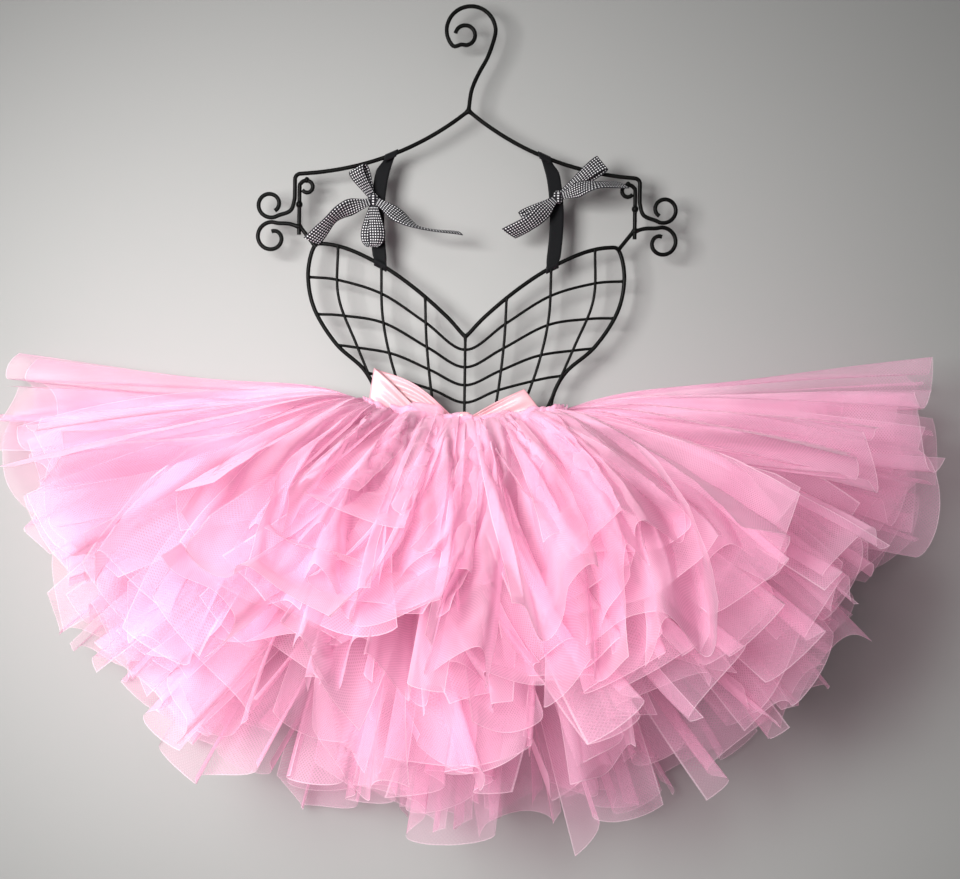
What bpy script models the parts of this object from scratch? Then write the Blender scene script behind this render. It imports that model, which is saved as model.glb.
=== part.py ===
"""Ballet tutu of knotted tulle strips, hanging on a wire bust hanger.

Sizes are in millimetres and become metres when an object is made. +Z is up. The origin is the crown of the
hanger's hook, on the inside of the bend, where a peg carries it. +X is to the right of someone who faces the
hanger, -Y is the front, and a wall would stand at +Y.
"""
import math
import random

import bmesh
import bpy
from mathutils import Vector

MM = 0.001
SEAM_GAP = 0.3          # clearance between neighbouring solids
FRONT = Vector((0.0, -1.0, 0.0))

# ---------------------------------------------------------------- hanger sizes
ROD_RADIUS = 1.8        # hook, shoulders, end rods, scrolls, braces and bust rods
WIRE_RADIUS = 1.25      # the grid inside the bust
WIRE_DEPTH = 1.4        # uprights lie this far in front of the rods' plane, cross wires behind it
ROD_STEP = 9.0          # spacing of a rod's points on its bends
HOOK_STEP = 7.2
END_STEP = 6.3          # end rods and lower scrolls
BUST_STEP = 12.15
WIRE_STEP = 18.0
HOOK_RADIUS = 21.5
HOOK_CENTRE = (1.0, -19.7)
HOOK_CROWN_TURN = (222.0, -24.0)    # degrees, from the coil over the crown to the shank
HOOK_CROWN_INSET = 1.6              # how much tighter the crown starts
HOOK_COIL_RADIUS = 8.6
HOOK_COIL_CENTRE = (-3.8, -23.6)
HOOK_COIL_TURN = (168.0, -112.0)
HOOK_SHANK = ((15.5, -43.0), (8.0, -57.0), (2.4, -71.0), (0.0, -87.5))
SHOULDER_START = (1.35, -89.1)
SHOULDER_PULL = (62.0, -139.0)      # middle handle of the shoulder's curve
SHOULDER_END = (143.6, -144.6)
SHOULDER_BEND = 4.7
SHOULDER_BEND_TURN = (72.0, 0.0)
OUTER_ROD_X = 148.3
OUTER_ROD_DROP = ((148.3, -159.0), (148.7, -167.5), (152.0, -176.5))
END_ROD_X = 144.3
END_ROD_BOTTOM_Z = -197.0
END_ROD_MIDDLE_Z = -176.0
EYE_CENTRE = (138.2, -156.0)
EYE_RADIUS = 6.1
EYE_INSET = 1.6
EYE_TURN = (325.0, 0.0)
# a scroll's radius shrinks from its first value to its second
UPPER_SCROLL = (169.3, -171.2)
UPPER_SCROLL_TURN = (-128.0, 235.0)
UPPER_SCROLL_RADII = (11.9, 6.8)
LOWER_SCROLL = (167.5, -199.4)
LOWER_SCROLL_TURN = (112.0, -275.0)
LOWER_SCROLL_RADII = (13.0, 4.8)
LOWER_SCROLL_LEAD = ((145.3, -189.6), (153.0, -187.8))
SCROLL_STEPS = 12
BRACE = ((144.3, -189.0), (131.0, -206.5))
WAIST_WIRE_Z = -354.5
WAIST_WIRE_REACH = 80.0
UPRIGHT_TOP_Z = -276.0

# right half of the bust rod, from the point of the sweetheart neckline to the waist
BUST_COLUMNS = ("x", "z")
BUST_ROWS = (
    (1.5, -281.4),
    (17.0, -265.0),
    (42.5, -243.0),
    (70.0, -224.0),
    (100.0, -209.5),
    (122.0, -204.6),
    (131.5, -208.0),
    (136.0, -232.0),
    (130.0, -261.0),
    (111.0, -290.5),
    (87.0, -312.0),
    (75.6, -334.0),
    (73.6, -357.0),
)

# upright wires of the right half, from the neckline to the waist wire
UPRIGHT_COLUMNS = ("name", "top_x", "top_z", "middle_x", "middle_z", "low_x", "low_z", "end_x")
UPRIGHT_ROWS = (
    ("inner", 35.0, -249.0, 33.5, -285.0, 30.0, -320.0, 25.0),
    ("middle", 73.0, -222.0, 71.5, -265.0, 63.0, -306.0, 46.0),
    ("outer", 110.5, -206.0, 109.5, -250.0, 93.0, -292.0, 66.0),
)

# cross wires of the right half, from the centre line out to the bust rod
CROSS_COLUMNS = ("centre_z", "inner_x", "inner_z", "middle_x", "middle_z", "outer_x", "outer_z", "end_x", "end_z")
CROSS_ROWS = (
    (-294.0, 34.5, -271.0, 72.0, -247.0, 110.0, -235.5, 139.0, -233.0),
    (-309.0, 31.5, -293.0, 70.0, -272.0, 106.0, -266.0, 134.0, -265.0),
    (-324.5, 29.5, -312.0, 62.0, -298.5, 96.0, -293.0, 116.0, -291.0),
    (-339.5, 27.0, -329.0, 55.0, -321.0, 72.0, -317.0, 90.0, -314.5),
)

# ---------------------------------------------------------------- strap, bow and ribbon sizes
RIBBON_THICKNESS = 1.2
STRAP_WIDTH = 12.0
STRAP_DEPTH = ROD_RADIUS + SEAM_GAP + RIBBON_THICKNESS / 2
STRAP_STEP = 20.0
STRAP_ROUTE = ((65.0, -124.0), (73.5, -143.0), (77.0, -170.0), (76.8, -195.0), (74.0, -225.0))
GINGHAM_WIDTH = 15.0
KNOT_ROUNDING = 0.28    # bevel of a ribbon knot, as a share of its smallest side
GINGHAM_KNOT = (8.0, 8.0, 11.0)
GINGHAM_KNOT_Y = STRAP_DEPTH - RIBBON_THICKNESS / 2 - SEAM_GAP - GINGHAM_KNOT[1] / 2

# bow loops: direction in the rods' plane, reach, half depth of the opening, how far the tip stands forward,
# and roll about their own length
LOOP_COLUMNS = ("bow", "name", "direction", "reach", "bulge", "forward", "roll")
LOOP_ROWS = (
    ("left", "loop_up", 118.0, 30.0, 4.5, 9.0, 12.0),
    ("left", "loop_down", 268.0, 40.0, 4.5, 0.0, 12.0),
    ("right", "loop_up", 38.0, 46.0, 4.5, 9.0, 12.0),
    ("right", "loop_down", 215.0, 36.0, 4.5, 0.0, 12.0),
)
LOOP_STEPS = 10
LOOP_CLOSED_SHARE = 0.45    # how much of its bulge a loop keeps at the knot
LOOP_REACH_POWER = 0.8      # less gives a loop with a blunter tip
LOOP_DEPTH_POWER = 1.0
PINCHED_SHARE = 0.5         # a ribbon's width where the knot pinches it
TAIL_START = 4.1            # how far in front of the knot's middle the tails leave it
TAIL_START_RADIUS = 4.3
TAIL_STEP = 12.0
TAIL_SPREAD_RATE = 3.0      # a tail is at full width after one third of its length
TAIL_ROLL_RATE = 1.5
# bow tails: where they end, from the knot, how far they bow forward, and their roll
TAIL_COLUMNS = ("bow", "name", "end_x", "end_z", "sag", "forward", "roll")
TAIL_ROWS = (
    ("left", "tail_out", -52.0, -36.0, 5.0, 8.0, 30.0),
    ("left", "tail_in", 74.0, -28.0, -9.0, 9.0, 72.0),
    ("right", "tail_out", 55.0, 11.0, -2.0, 19.0, 40.0),
    ("right", "tail_in", -42.0, -33.0, -4.0, 9.0, 35.0),
)
BOW_KNOTS = {"left": (-80.5, -166.5), "right": (78.0, -162.0)}

SATIN_Y = -9.9
SATIN_KNOT = (13.0, 3.2, 15.0)
SATIN_KNOT_CENTRE = (0.0, -9.3, -344.0)
SATIN_STEPS = 14
SATIN_THICKNESS = 1.0
SATIN_POWER = 0.35          # reach and depth power of a loop that is pressed flat, and folded at its tip
# satin loops: start beside the knot, tip, half widths at both, and half depth of the opening
SATIN_COLUMNS = ("name", "start_x", "start_z", "tip_x", "tip_z", "start_half", "tip_half", "bulge")
SATIN_ROWS = (
    ("left", -9.2, -343.5, -72.0, -321.5, 6.5, 13.5, 1.0),
    ("right", 8.6, -344.0, 53.0, -333.0, 6.5, 12.0, 1.0),
)

# ---------------------------------------------------------------- tutu sizes
TULLE_THICKNESS = 1.5
STRIP_LENGTH = 342.0    # one leaf of a doubled strip, from knot to cut end
ROOT_HALF_WIDTH = 83.5  # where the leaves start, seen from the front
ROOT_TOP_Z = -346.0
ROOT_SAG = 9.0
BAND_TOP_Z = -340.5
BAND_BOTTOM_Z = -354.4
BAND_THICKNESS = 1.5
BAND_HALF_WIDTH = 78.3
BAND_HALF_DEPTH = 6.5
BAND_SEGMENTS = 36
BAND_SQUARENESS = 0.5   # 1 is an ellipse seen from above, less is squarer at its two ends
KNOT_TOP_Z = -334.5
KNOTS_FRONT_Y = -15.5
KNOTS_FRONT_DEPTH = 3.9
KNOTS_BACK_Y = 11.6
KNOTS_BACK_DEPTH = 3.4
KNOT_HALF_WIDTH = 82.0
KNOT_GAP = 0.5
KNOT_PITCH = 13.5       # one knot of the row
KNOT_RELIEF = 0.12      # how far each knot swells, as a share of the row's depth
KNOT_FULLNESS = 0.45    # less gives the row of knots blunter ends
KNOT_RING_POINTS = 8
KNOT_RINGS = 26

STRIP_ROWS = (0.0, 0.10, 0.24, 0.42, 0.62, 0.82, 1.0)
SLIT_ROW = 2            # above this row the strips of a tier are joined
RAY_STEPS = 40
STRIP_FILL = 0.90       # how much of its share of the fan a strip fills at its cut end
SLIT_HEAD_SHARE = 0.35  # how much of the gap between two strips is open at the head of the slit
CURL_START = 0.55       # where the ends of the front tiers begin to turn forward
WAVES_PER_STRIP = 1.25
WAVE_SHARE = 0.60       # how a strip uses the room between its tier and the next ones
TWIST_SHARE = 0.25
LIFT_SHARE = 0.15
ROOM_SHARE = 0.80
LENGTH_JITTER = 0.04
CUT_SLANT = 0.04
SIDE_SHORTENING = 0.09  # leaves that run sideways lie in deeper folds and reach less far
JITTER_SEED = 15

# one row for each tier of leaves, from the wall to the front
TIER_COLUMNS = ("half", "tilt", "first_angle", "last_angle", "strips", "faces_across", "length_share", "droop",
                "tip_curl")
TIER_ROWS = (
    ("back", 0.0, 172.0, 369.0, 9, 5, 1.00, 0.04, 0.0),
    ("back", 3.5, 177.0, 364.0, 9, 4, 1.00, 0.06, 0.0),
    ("back", 7.5, 171.5, 370.0, 9, 4, 0.99, 0.08, 0.0),
    ("front", 20.0, 175.0, 366.0, 9, 5, 1.00, 0.12, 0.0),
    ("front", 28.0, 179.0, 361.0, 8, 5, 0.98, 0.18, 2.0),
    ("front", 36.0, 184.0, 357.0, 8, 5, 0.95, 0.24, 4.0),
    ("front", 44.0, 190.0, 350.0, 7, 5, 0.91, 0.30, 8.0),
    ("front", 52.0, 197.0, 343.0, 6, 5, 0.87, 0.36, 12.0),
    ("front", 60.0, 205.0, 335.0, 5, 5, 0.83, 0.42, 17.0),
    ("front", 68.0, 213.0, 327.0, 4, 5, 0.78, 0.48, 23.0),
)
INNER_ROOT_Y = 8.6      # the innermost tier of each half starts this far from the rods' plane
TIER_PITCH = 2.35       # from one tier's start to the next, square to the cloth


# ================================================================ scene, materials and placing
def clear_scene():
    for obj in list(bpy.data.objects):
        bpy.data.objects.remove(obj, do_unlink=True)


def new_collection(name):
    collection = bpy.data.collections.new(name)
    bpy.context.scene.collection.children.link(collection)
    return collection


def new_material(name, colour, roughness, metallic=0.0):
    material = bpy.data.materials.new(name)
    material.use_nodes = True
    shader = material.node_tree.nodes["Principled BSDF"]
    shader.inputs["Base Color"].default_value = (*colour, 1.0)
    shader.inputs["Roughness"].default_value = roughness
    shader.inputs["Metallic"].default_value = metallic
    return material


def named_rows(columns, rows):
    return [dict(zip(columns, row)) for row in rows]


def in_plane(x, z, y=0.0):
    return Vector((x, y, z))


def mirrored(route):
    return [Vector((-point.x, point.y, point.z)) for point in route]


def smoothstep(value):
    value = min(max(value, 0.0), 1.0)
    return value * value * (3.0 - 2.0 * value)


# ================================================================ routes of rods and wires
def arc(centre, degrees, radii, steps, power=1.0):
    """Points of an arc, or of a scroll when its two radii differ."""
    points = []
    for step in range(steps + 1):
        share = step / steps
        angle = math.radians(degrees[0] + (degrees[1] - degrees[0]) * share)
        radius = radii[0] + (radii[1] - radii[0]) * share ** power
        points.append(in_plane(centre[0] + radius * math.cos(angle), centre[1] + radius * math.sin(angle)))
    return points


def bezier(start, handle, end, steps):
    """Points of a curve with one middle handle, in the rods' plane."""
    first, middle, last = in_plane(*start), in_plane(*handle), in_plane(*end)
    shares = [step / steps for step in range(steps + 1)]
    return [first * (1 - t) ** 2 + middle * 2 * t * (1 - t) + last * t * t for t in shares]


def spline_point(before, start, end, after, share):
    """A point between start and end on the smooth curve through four points."""
    square, cube = share * share, share ** 3
    return 0.5 * (2 * start + (end - before) * share
                  + (2 * before - 5 * start + 4 * end - after) * square
                  + (3 * start - before - 3 * end + after) * cube)


def smooth_route(points, fine=12):
    """A finely divided smooth curve through the points."""
    padded = [2 * points[0] - points[1]] + list(points) + [2 * points[-1] - points[-2]]
    route = []
    for index in range(1, len(padded) - 2):
        window = padded[index - 1:index + 3]
        route += [spline_point(*window, step / fine) for step in range(fine)]
    return route + [points[-1].copy()]


def resampled(route, spacing):
    """The same route with points at an even spacing of about the one asked for."""
    lengths = [0.0]
    for start, end in zip(route, route[1:]):
        lengths.append(lengths[-1] + (end - start).length)
    count = max(2, round(lengths[-1] / spacing) + 1)
    points = []
    index = 0
    for step in range(count):
        target = lengths[-1] * step / (count - 1)
        while index < len(lengths) - 2 and lengths[index + 1] < target:
            index += 1
        run = max(lengths[index + 1] - lengths[index], 1e-9)
        points.append(route[index].lerp(route[index + 1], min(1.0, (target - lengths[index]) / run)))
    return points


def distance_to_route(point, route):
    nearest = math.inf
    for start, end in zip(route, route[1:]):
        run = end - start
        share = min(max((point - start).dot(run) / run.length_squared, 0.0), 1.0)
        nearest = min(nearest, (point - start - run * share).length)
    return nearest


def cap_rim(route, index, radius):
    """Points round the cap that a tube would have if it ended at this point of its route."""
    tangent = (route[min(index + 1, len(route) - 1)] - route[max(index - 1, 0)]).normalized()
    side = tangent.cross(FRONT).normalized()
    return [route[index] + radius * (side * math.cos(turn) + FRONT * math.sin(turn))
            for turn in (math.radians(45 * eighth) for eighth in range(8))]


def trimmed(route, radius, neighbours):
    """The middle stretch of a route whose capped ends stand a seam gap off the neighbouring rods."""
    fine = resampled(route, 0.4)
    guides = [resampled(neighbour, 3.0) for neighbour in neighbours]
    reach = ROD_RADIUS + SEAM_GAP

    def is_clear(index):
        near = min(distance_to_route(fine[index], guide) for guide in guides)
        if near > reach + radius:
            return True
        return all(distance_to_route(rim, guide) >= reach
                   for rim in cap_rim(fine, index, radius) for guide in guides)

    first = last = len(fine) // 2
    while first > 0 and is_clear(first - 1):
        first -= 1
    while last < len(fine) - 1 and is_clear(last + 1):
        last += 1
    return fine[first:last + 1]


def hook_route():
    """From the inner end of the coil, round the coil and the crown, and down the shank."""
    coil = arc(HOOK_COIL_CENTRE, HOOK_COIL_TURN, (HOOK_COIL_RADIUS, HOOK_COIL_RADIUS), 9)
    crown = arc(HOOK_CENTRE, HOOK_CROWN_TURN, (HOOK_RADIUS - HOOK_CROWN_INSET, HOOK_RADIUS), 9, power=0.4)
    shank = [in_plane(*place) for place in HOOK_SHANK]
    return smooth_route(coil + crown + shank, fine=6)


def shoulder_route():
    """From under the hook, out along the shoulder, down the end bend and round the upper scroll."""
    slope = bezier(SHOULDER_START, SHOULDER_PULL, SHOULDER_END, 6)
    corner = (OUTER_ROD_X - SHOULDER_BEND, SHOULDER_END[1] - SHOULDER_BEND)
    bend = arc(corner, SHOULDER_BEND_TURN, (SHOULDER_BEND, SHOULDER_BEND), 3)
    drop = [in_plane(*place) for place in OUTER_ROD_DROP]
    return slope + bend + drop + arc(UPPER_SCROLL, UPPER_SCROLL_TURN, UPPER_SCROLL_RADII, SCROLL_STEPS)


def end_rod_route():
    """From the eye under the shoulder straight down."""
    eye = arc(EYE_CENTRE, EYE_TURN, (EYE_RADIUS - EYE_INSET, EYE_RADIUS), 9)
    straight = [in_plane(END_ROD_X, z) for z in (EYE_CENTRE[1], END_ROD_MIDDLE_Z, END_ROD_BOTTOM_Z)]
    return smooth_route(eye[:-1] + straight, fine=5)


def lower_scroll_route():
    """From the end rod, out and round the lower scroll."""
    lead = [in_plane(*place) for place in LOWER_SCROLL_LEAD]
    scroll = arc(LOWER_SCROLL, LOWER_SCROLL_TURN, LOWER_SCROLL_RADII, SCROLL_STEPS, power=1.8)
    return smooth_route(lead + scroll, fine=5)


def bust_route():
    """The right bust rod, from the point of the neckline to the waist."""
    rows = named_rows(BUST_COLUMNS, BUST_ROWS)
    return smooth_route([in_plane(row["x"], row["z"]) for row in rows], fine=8)


def upright_route(row):
    """One upright wire of the right half."""
    points = [(row["top_x"], row["top_z"]), (row["middle_x"], row["middle_z"]),
              (row["low_x"], row["low_z"]), (row["end_x"], WAIST_WIRE_Z)]
    return smooth_route([in_plane(x, z, -WIRE_DEPTH) for x, z in points])


def cross_route(row):
    """One cross wire, from the left bust rod to the right one."""
    right = [in_plane(row[part + "_x"], row[part + "_z"], WIRE_DEPTH)
             for part in ("inner", "middle", "outer", "end")]
    centre = [in_plane(0.0, row["centre_z"], WIRE_DEPTH)]
    return smooth_route(mirrored(right)[::-1] + centre + right)


# ================================================================ making objects
def add_tube(name, route, radius, material, collection, sides=8):
    """A round rod or wire along a route, with flat closed ends."""
    curve = bpy.data.curves.new(name, "CURVE")
    curve.dimensions = "3D"
    curve.bevel_depth = radius * MM
    curve.bevel_resolution = (sides - 4) // 2
    curve.use_fill_caps = True
    spline = curve.splines.new("POLY")
    spline.points.add(len(route) - 1)
    for point, place in zip(spline.points, route):
        point.co = (*(place * MM), 1.0)
    spline.use_smooth = True
    curve.materials.append(material)
    obj = bpy.data.objects.new(name, curve)
    collection.objects.link(obj)
    return obj


def add_mesh(name, mesh_source, material, collection, thickness=None):
    """An object from a bmesh in millimetres. An open surface gets its wall thickness from Solidify."""
    bmesh.ops.scale(mesh_source, vec=(MM, MM, MM), verts=mesh_source.verts)
    mesh = bpy.data.meshes.new(name)
    mesh_source.to_mesh(mesh)
    mesh_source.free()
    mesh.materials.append(material)
    mesh.shade_smooth()
    obj = bpy.data.objects.new(name, mesh)
    collection.objects.link(obj)
    if thickness is not None:
        wall = obj.modifiers.new("wall", "SOLIDIFY")
        wall.thickness = thickness * MM
        wall.offset = 0.0
        wall.use_even_offset = True
    return obj


def grid_surface(rows_of_points):
    """An open surface through rows of points that all have the same count."""
    surface = bmesh.new()
    rows = [[surface.verts.new(point) for point in points] for points in rows_of_points]
    for upper, lower in zip(rows, rows[1:]):
        for column in range(len(upper) - 1):
            surface.faces.new((upper[column], upper[column + 1], lower[column + 1], lower[column]))
    return surface


def ribbon_surface(centres, half_widths, rolls, level=None):
    """A flat ribbon along a route: roll 0 faces the front, roll 90 stands on edge.

    A route that turns back on itself gives its own level, the ribbon's width where the roll is 0.
    """
    rows = []
    for index, centre in enumerate(centres):
        tangent = (centres[min(index + 1, len(centres) - 1)] - centres[max(index - 1, 0)]).normalized()
        flat = level or tangent.cross(FRONT).normalized()
        raised = FRONT if level else flat.cross(tangent).normalized()
        roll = math.radians(rolls[index])
        across = (flat * math.cos(roll) + raised * math.sin(roll)) * half_widths[index]
        rows.append([centre - across, centre + across])
    return grid_surface(rows)


def rounded_block(size, centre):
    """A small knot: a block with its edges rounded off."""
    block = bmesh.new()
    bmesh.ops.create_cube(block, size=1.0)
    bmesh.ops.scale(block, vec=size, verts=block.verts)
    bmesh.ops.bevel(block, geom=block.edges[:], offset=min(size) * KNOT_ROUNDING, segments=1, affect="EDGES")
    bmesh.ops.translate(block, vec=centre, verts=block.verts)
    return block


# ================================================================ hanger
def build_hanger(collection, enamel):
    """The wire bust hanger. Its left half mirrors its right half."""
    bust_right = resampled(bust_route(), BUST_STEP)
    waist = [in_plane(-WAIST_WIRE_REACH, WAIST_WIRE_Z), in_plane(WAIST_WIRE_REACH, WAIST_WIRE_Z)]
    frame_rods = [bust_right, mirrored(bust_right)]

    add_tube("hook", resampled(hook_route(), HOOK_STEP), ROD_RADIUS, enamel, collection)
    sides = {"right": lambda route: route, "left": mirrored}
    for side, placed in sides.items():
        end_rod = resampled(end_rod_route(), END_STEP)
        lower_scroll = trimmed(lower_scroll_route(), ROD_RADIUS, [end_rod])
        brace = trimmed([in_plane(*BRACE[0]), in_plane(*BRACE[1])], ROD_RADIUS, [end_rod, bust_right])
        add_tube("shoulder_" + side, placed(shoulder_route()), ROD_RADIUS, enamel, collection)
        add_tube("end_rod_" + side, placed(end_rod), ROD_RADIUS, enamel, collection)
        add_tube("scroll_" + side, placed(resampled(lower_scroll, END_STEP)), ROD_RADIUS, enamel, collection)
        add_tube("brace_" + side, placed([brace[0], brace[-1]]), ROD_RADIUS, enamel, collection)
        add_tube("bust_rod_" + side, placed(bust_right), ROD_RADIUS, enamel, collection)

    waist_wire = trimmed(waist, WIRE_RADIUS, frame_rods)
    add_tube("waist_wire", [waist_wire[0], waist_wire[-1]], WIRE_RADIUS, enamel, collection, sides=6)
    stops = frame_rods + [waist_wire]
    centre = trimmed([in_plane(0.0, z, -WIRE_DEPTH) for z in (UPRIGHT_TOP_Z, WAIST_WIRE_Z)], WIRE_RADIUS, stops)
    add_tube("upright_centre", [centre[0], centre[-1]], WIRE_RADIUS, enamel, collection, sides=6)
    for row in named_rows(UPRIGHT_COLUMNS, UPRIGHT_ROWS):
        upright = resampled(trimmed(upright_route(row), WIRE_RADIUS, stops), WIRE_STEP)
        for side, placed in sides.items():
            add_tube("upright_" + row["name"] + "_" + side, placed(upright), WIRE_RADIUS, enamel, collection,
                     sides=6)
    for number, row in enumerate(named_rows(CROSS_COLUMNS, CROSS_ROWS), start=1):
        cross = resampled(trimmed(cross_route(row), WIRE_RADIUS, frame_rods), WIRE_STEP)
        add_tube("cross_wire_%d" % number, cross, WIRE_RADIUS, enamel, collection, sides=6)


def build_straps(collection, webbing):
    """Flat straps that hang behind the shoulder rods and meet the back of the bust rods."""
    for side, sign in (("right", 1.0), ("left", -1.0)):
        points = [in_plane(sign * x, z, STRAP_DEPTH) for x, z in STRAP_ROUTE]
        centres = resampled(smooth_route(points), STRAP_STEP)
        count = len(centres)
        surface = ribbon_surface(centres, [STRAP_WIDTH / 2] * count, [0.0] * count)
        add_mesh("strap_" + side, surface, webbing, collection, RIBBON_THICKNESS)


# ================================================================ ribbon bows
def loop_shares(steps, power):
    """How far out each point of a loop lies, from the knot to the tip and back."""
    return [math.sin(math.pi * step / steps) ** power if 0 < step < steps else 0.0 for step in range(steps + 1)]


def loop_centres(start, tip, bulge, closed_share, shares, depth_power):
    """The middle line of a ribbon loop: out in front, round the tip, and back behind."""
    centres = []
    for step, share in enumerate(shares):
        turn = math.pi * step / (len(shares) - 1)
        depth = math.copysign(abs(math.cos(turn)) ** depth_power, math.cos(turn))
        open_share = closed_share + (1.0 - closed_share) * math.sin(turn)
        centres.append(start.lerp(tip, share) + FRONT * bulge * depth * open_share)
    return centres


def build_gingham_bows(collection, gingham):
    """A bow on each strap, its knot in front of the strap."""
    half = GINGHAM_WIDTH / 2
    knot_radius = max(GINGHAM_KNOT[0], GINGHAM_KNOT[2]) / 2 + SEAM_GAP
    for bow, (knot_x, knot_z) in BOW_KNOTS.items():
        centre = Vector((knot_x, GINGHAM_KNOT_Y, knot_z))
        add_mesh("bow_knot_" + bow, rounded_block(GINGHAM_KNOT, centre), gingham, collection)
        for row in named_rows(LOOP_COLUMNS, LOOP_ROWS):
            if row["bow"] != bow:
                continue
            turn = math.radians(row["direction"])
            along = in_plane(math.cos(turn), math.sin(turn))
            tip = centre + along * row["reach"] + FRONT * row["forward"]
            shares = loop_shares(LOOP_STEPS, LOOP_REACH_POWER)
            centres = loop_centres(centre + along * knot_radius, tip, row["bulge"], LOOP_CLOSED_SHARE, shares,
                                   LOOP_DEPTH_POWER)
            swells = [math.sin(math.pi * step / LOOP_STEPS) for step in range(LOOP_STEPS + 1)]
            widths = [half * (PINCHED_SHARE + (1.0 - PINCHED_SHARE) * swell) for swell in swells]
            rolls = [row["roll"] * swell for swell in swells]
            surface = ribbon_surface(centres, widths, rolls, level=along.cross(FRONT))
            add_mesh("bow_" + row["name"] + "_" + bow, surface, gingham, collection, RIBBON_THICKNESS)
        for row in named_rows(TAIL_COLUMNS, TAIL_ROWS):
            if row["bow"] != bow:
                continue
            end = Vector((row["end_x"], 0.0, row["end_z"]))
            start = centre + end.normalized() * TAIL_START_RADIUS + FRONT * TAIL_START
            middle = start.lerp(centre + end, 0.5) + in_plane(0.0, row["sag"]) + FRONT * row["forward"]
            finish = centre + end + FRONT * row["forward"] * 0.5
            centres = resampled(smooth_route([start, middle, finish]), TAIL_STEP)
            shares = [index / (len(centres) - 1) for index in range(len(centres))]
            spreads = [smoothstep(share * TAIL_SPREAD_RATE) for share in shares]
            widths = [half * (PINCHED_SHARE + (1.0 - PINCHED_SHARE) * spread) for spread in spreads]
            rolls = [row["roll"] * smoothstep(share * TAIL_ROLL_RATE) for share in shares]
            add_mesh("bow_" + row["name"] + "_" + bow, ribbon_surface(centres, widths, rolls), gingham,
                     collection, RIBBON_THICKNESS)


def build_satin_bow(collection, satin):
    """The bow at the waist: a knot against the band and two loops that rise behind the row of knots."""
    add_mesh("satin_knot", rounded_block(SATIN_KNOT, SATIN_KNOT_CENTRE), satin, collection)
    for row in named_rows(SATIN_COLUMNS, SATIN_ROWS):
        start = in_plane(row["start_x"], row["start_z"], SATIN_Y)
        tip = in_plane(row["tip_x"], row["tip_z"], SATIN_Y)
        shares = loop_shares(SATIN_STEPS, SATIN_POWER)
        centres = loop_centres(start, tip, row["bulge"], 1.0, shares, SATIN_POWER)
        spread = row["tip_half"] - row["start_half"]
        widths = [row["start_half"] + spread * share for share in shares]
        level = (tip - start).cross(FRONT).normalized()
        surface = ribbon_surface(centres, widths, [0.0] * len(centres), level)
        add_mesh("satin_loop_" + row["name"], surface, satin, collection, SATIN_THICKNESS)


# ================================================================ waistband and knots
def build_waistband(collection, elastic):
    """The elastic ring, open at top and bottom, round the foot of the bust."""
    rings = []
    for z in (BAND_TOP_Z, BAND_BOTTOM_Z):
        ring = []
        for step in range(BAND_SEGMENTS + 1):
            turn = math.tau * step / BAND_SEGMENTS
            across = math.copysign(abs(math.cos(turn)) ** BAND_SQUARENESS, math.cos(turn))
            deep = math.copysign(abs(math.sin(turn)) ** BAND_SQUARENESS, math.sin(turn))
            ring.append(Vector((BAND_HALF_WIDTH * across, BAND_HALF_DEPTH * deep, z)))
        rings.append(ring)
    surface = grid_surface(rings)
    bmesh.ops.remove_doubles(surface, verts=surface.verts, dist=0.01)
    add_mesh("waistband", surface, elastic, collection, BAND_THICKNESS)


def knot_row(centre_y, half_depth, rise):
    """A row of knots: a long rounded roll that swells at each knot and follows the roots of the leaves."""
    roll = bmesh.new()
    bmesh.ops.create_uvsphere(roll, u_segments=KNOT_RING_POINTS, v_segments=KNOT_RINGS, radius=1.0)
    for vert in roll.verts:
        along, ring = vert.co.z, math.hypot(vert.co.x, vert.co.y)
        x = KNOT_HALF_WIDTH * math.sin(along * math.pi / 2)
        fullness = ring ** KNOT_FULLNESS if ring > 1e-6 else 0.0
        direction = vert.co.xy / ring if ring > 1e-6 else vert.co.xy
        bottom = leaf_root_z(x / ROOT_HALF_WIDTH) + rise + KNOT_GAP
        swell = 1.0 - KNOT_RELIEF + KNOT_RELIEF * math.cos(math.tau * x / KNOT_PITCH)
        half_height = (KNOT_TOP_Z - bottom) / 2
        middle = (KNOT_TOP_Z + bottom) / 2
        vert.co = Vector((x, centre_y + half_depth * swell * fullness * direction[0],
                          middle + half_height * fullness * direction[1]))
    return roll


# ================================================================ tulle
def leaf_root_z(share):
    """Height of the leaves' start, at a share of the way out from the centre line."""
    return ROOT_TOP_Z - ROOT_SAG * math.sqrt(max(0.0, 1.0 - share * share))


def placed_tiers():
    """The rows of the tier table, each with the depth and rise of its start. Tiers stack square to the cloth."""
    tiers = named_rows(TIER_COLUMNS, TIER_ROWS)
    for half, toward_wall in (("back", 1.0), ("front", -1.0)):
        members = [tier for tier in tiers if tier["half"] == half]
        outward = members if half == "front" else members[::-1]
        root_y, rise = INNER_ROOT_Y * toward_wall, 0.0
        for tier, following in zip(outward, outward[1:] + [None]):
            tier["root_y"], tier["rise"] = root_y, rise
            if following:
                tilt = math.radians((tier["tilt"] + following["tilt"]) / 2)
                root_y += TIER_PITCH * math.cos(tilt) * toward_wall
                rise -= TIER_PITCH * math.sin(tilt) * toward_wall
    return tiers


def leaf_direction(tier, angle, share):
    """Which way a leaf runs at a share of its length: out in the fan, forward, and down as it droops."""
    turn = math.radians(angle)
    tilt = math.radians(tier["tilt"] + tier["tip_curl"] * smoothstep((share - CURL_START) / (1.0 - CURL_START)))
    return Vector((math.cos(tilt) * math.cos(turn), -math.sin(tilt),
                   math.cos(tilt) * math.sin(turn) - tier["droop"] * share)).normalized()


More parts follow.
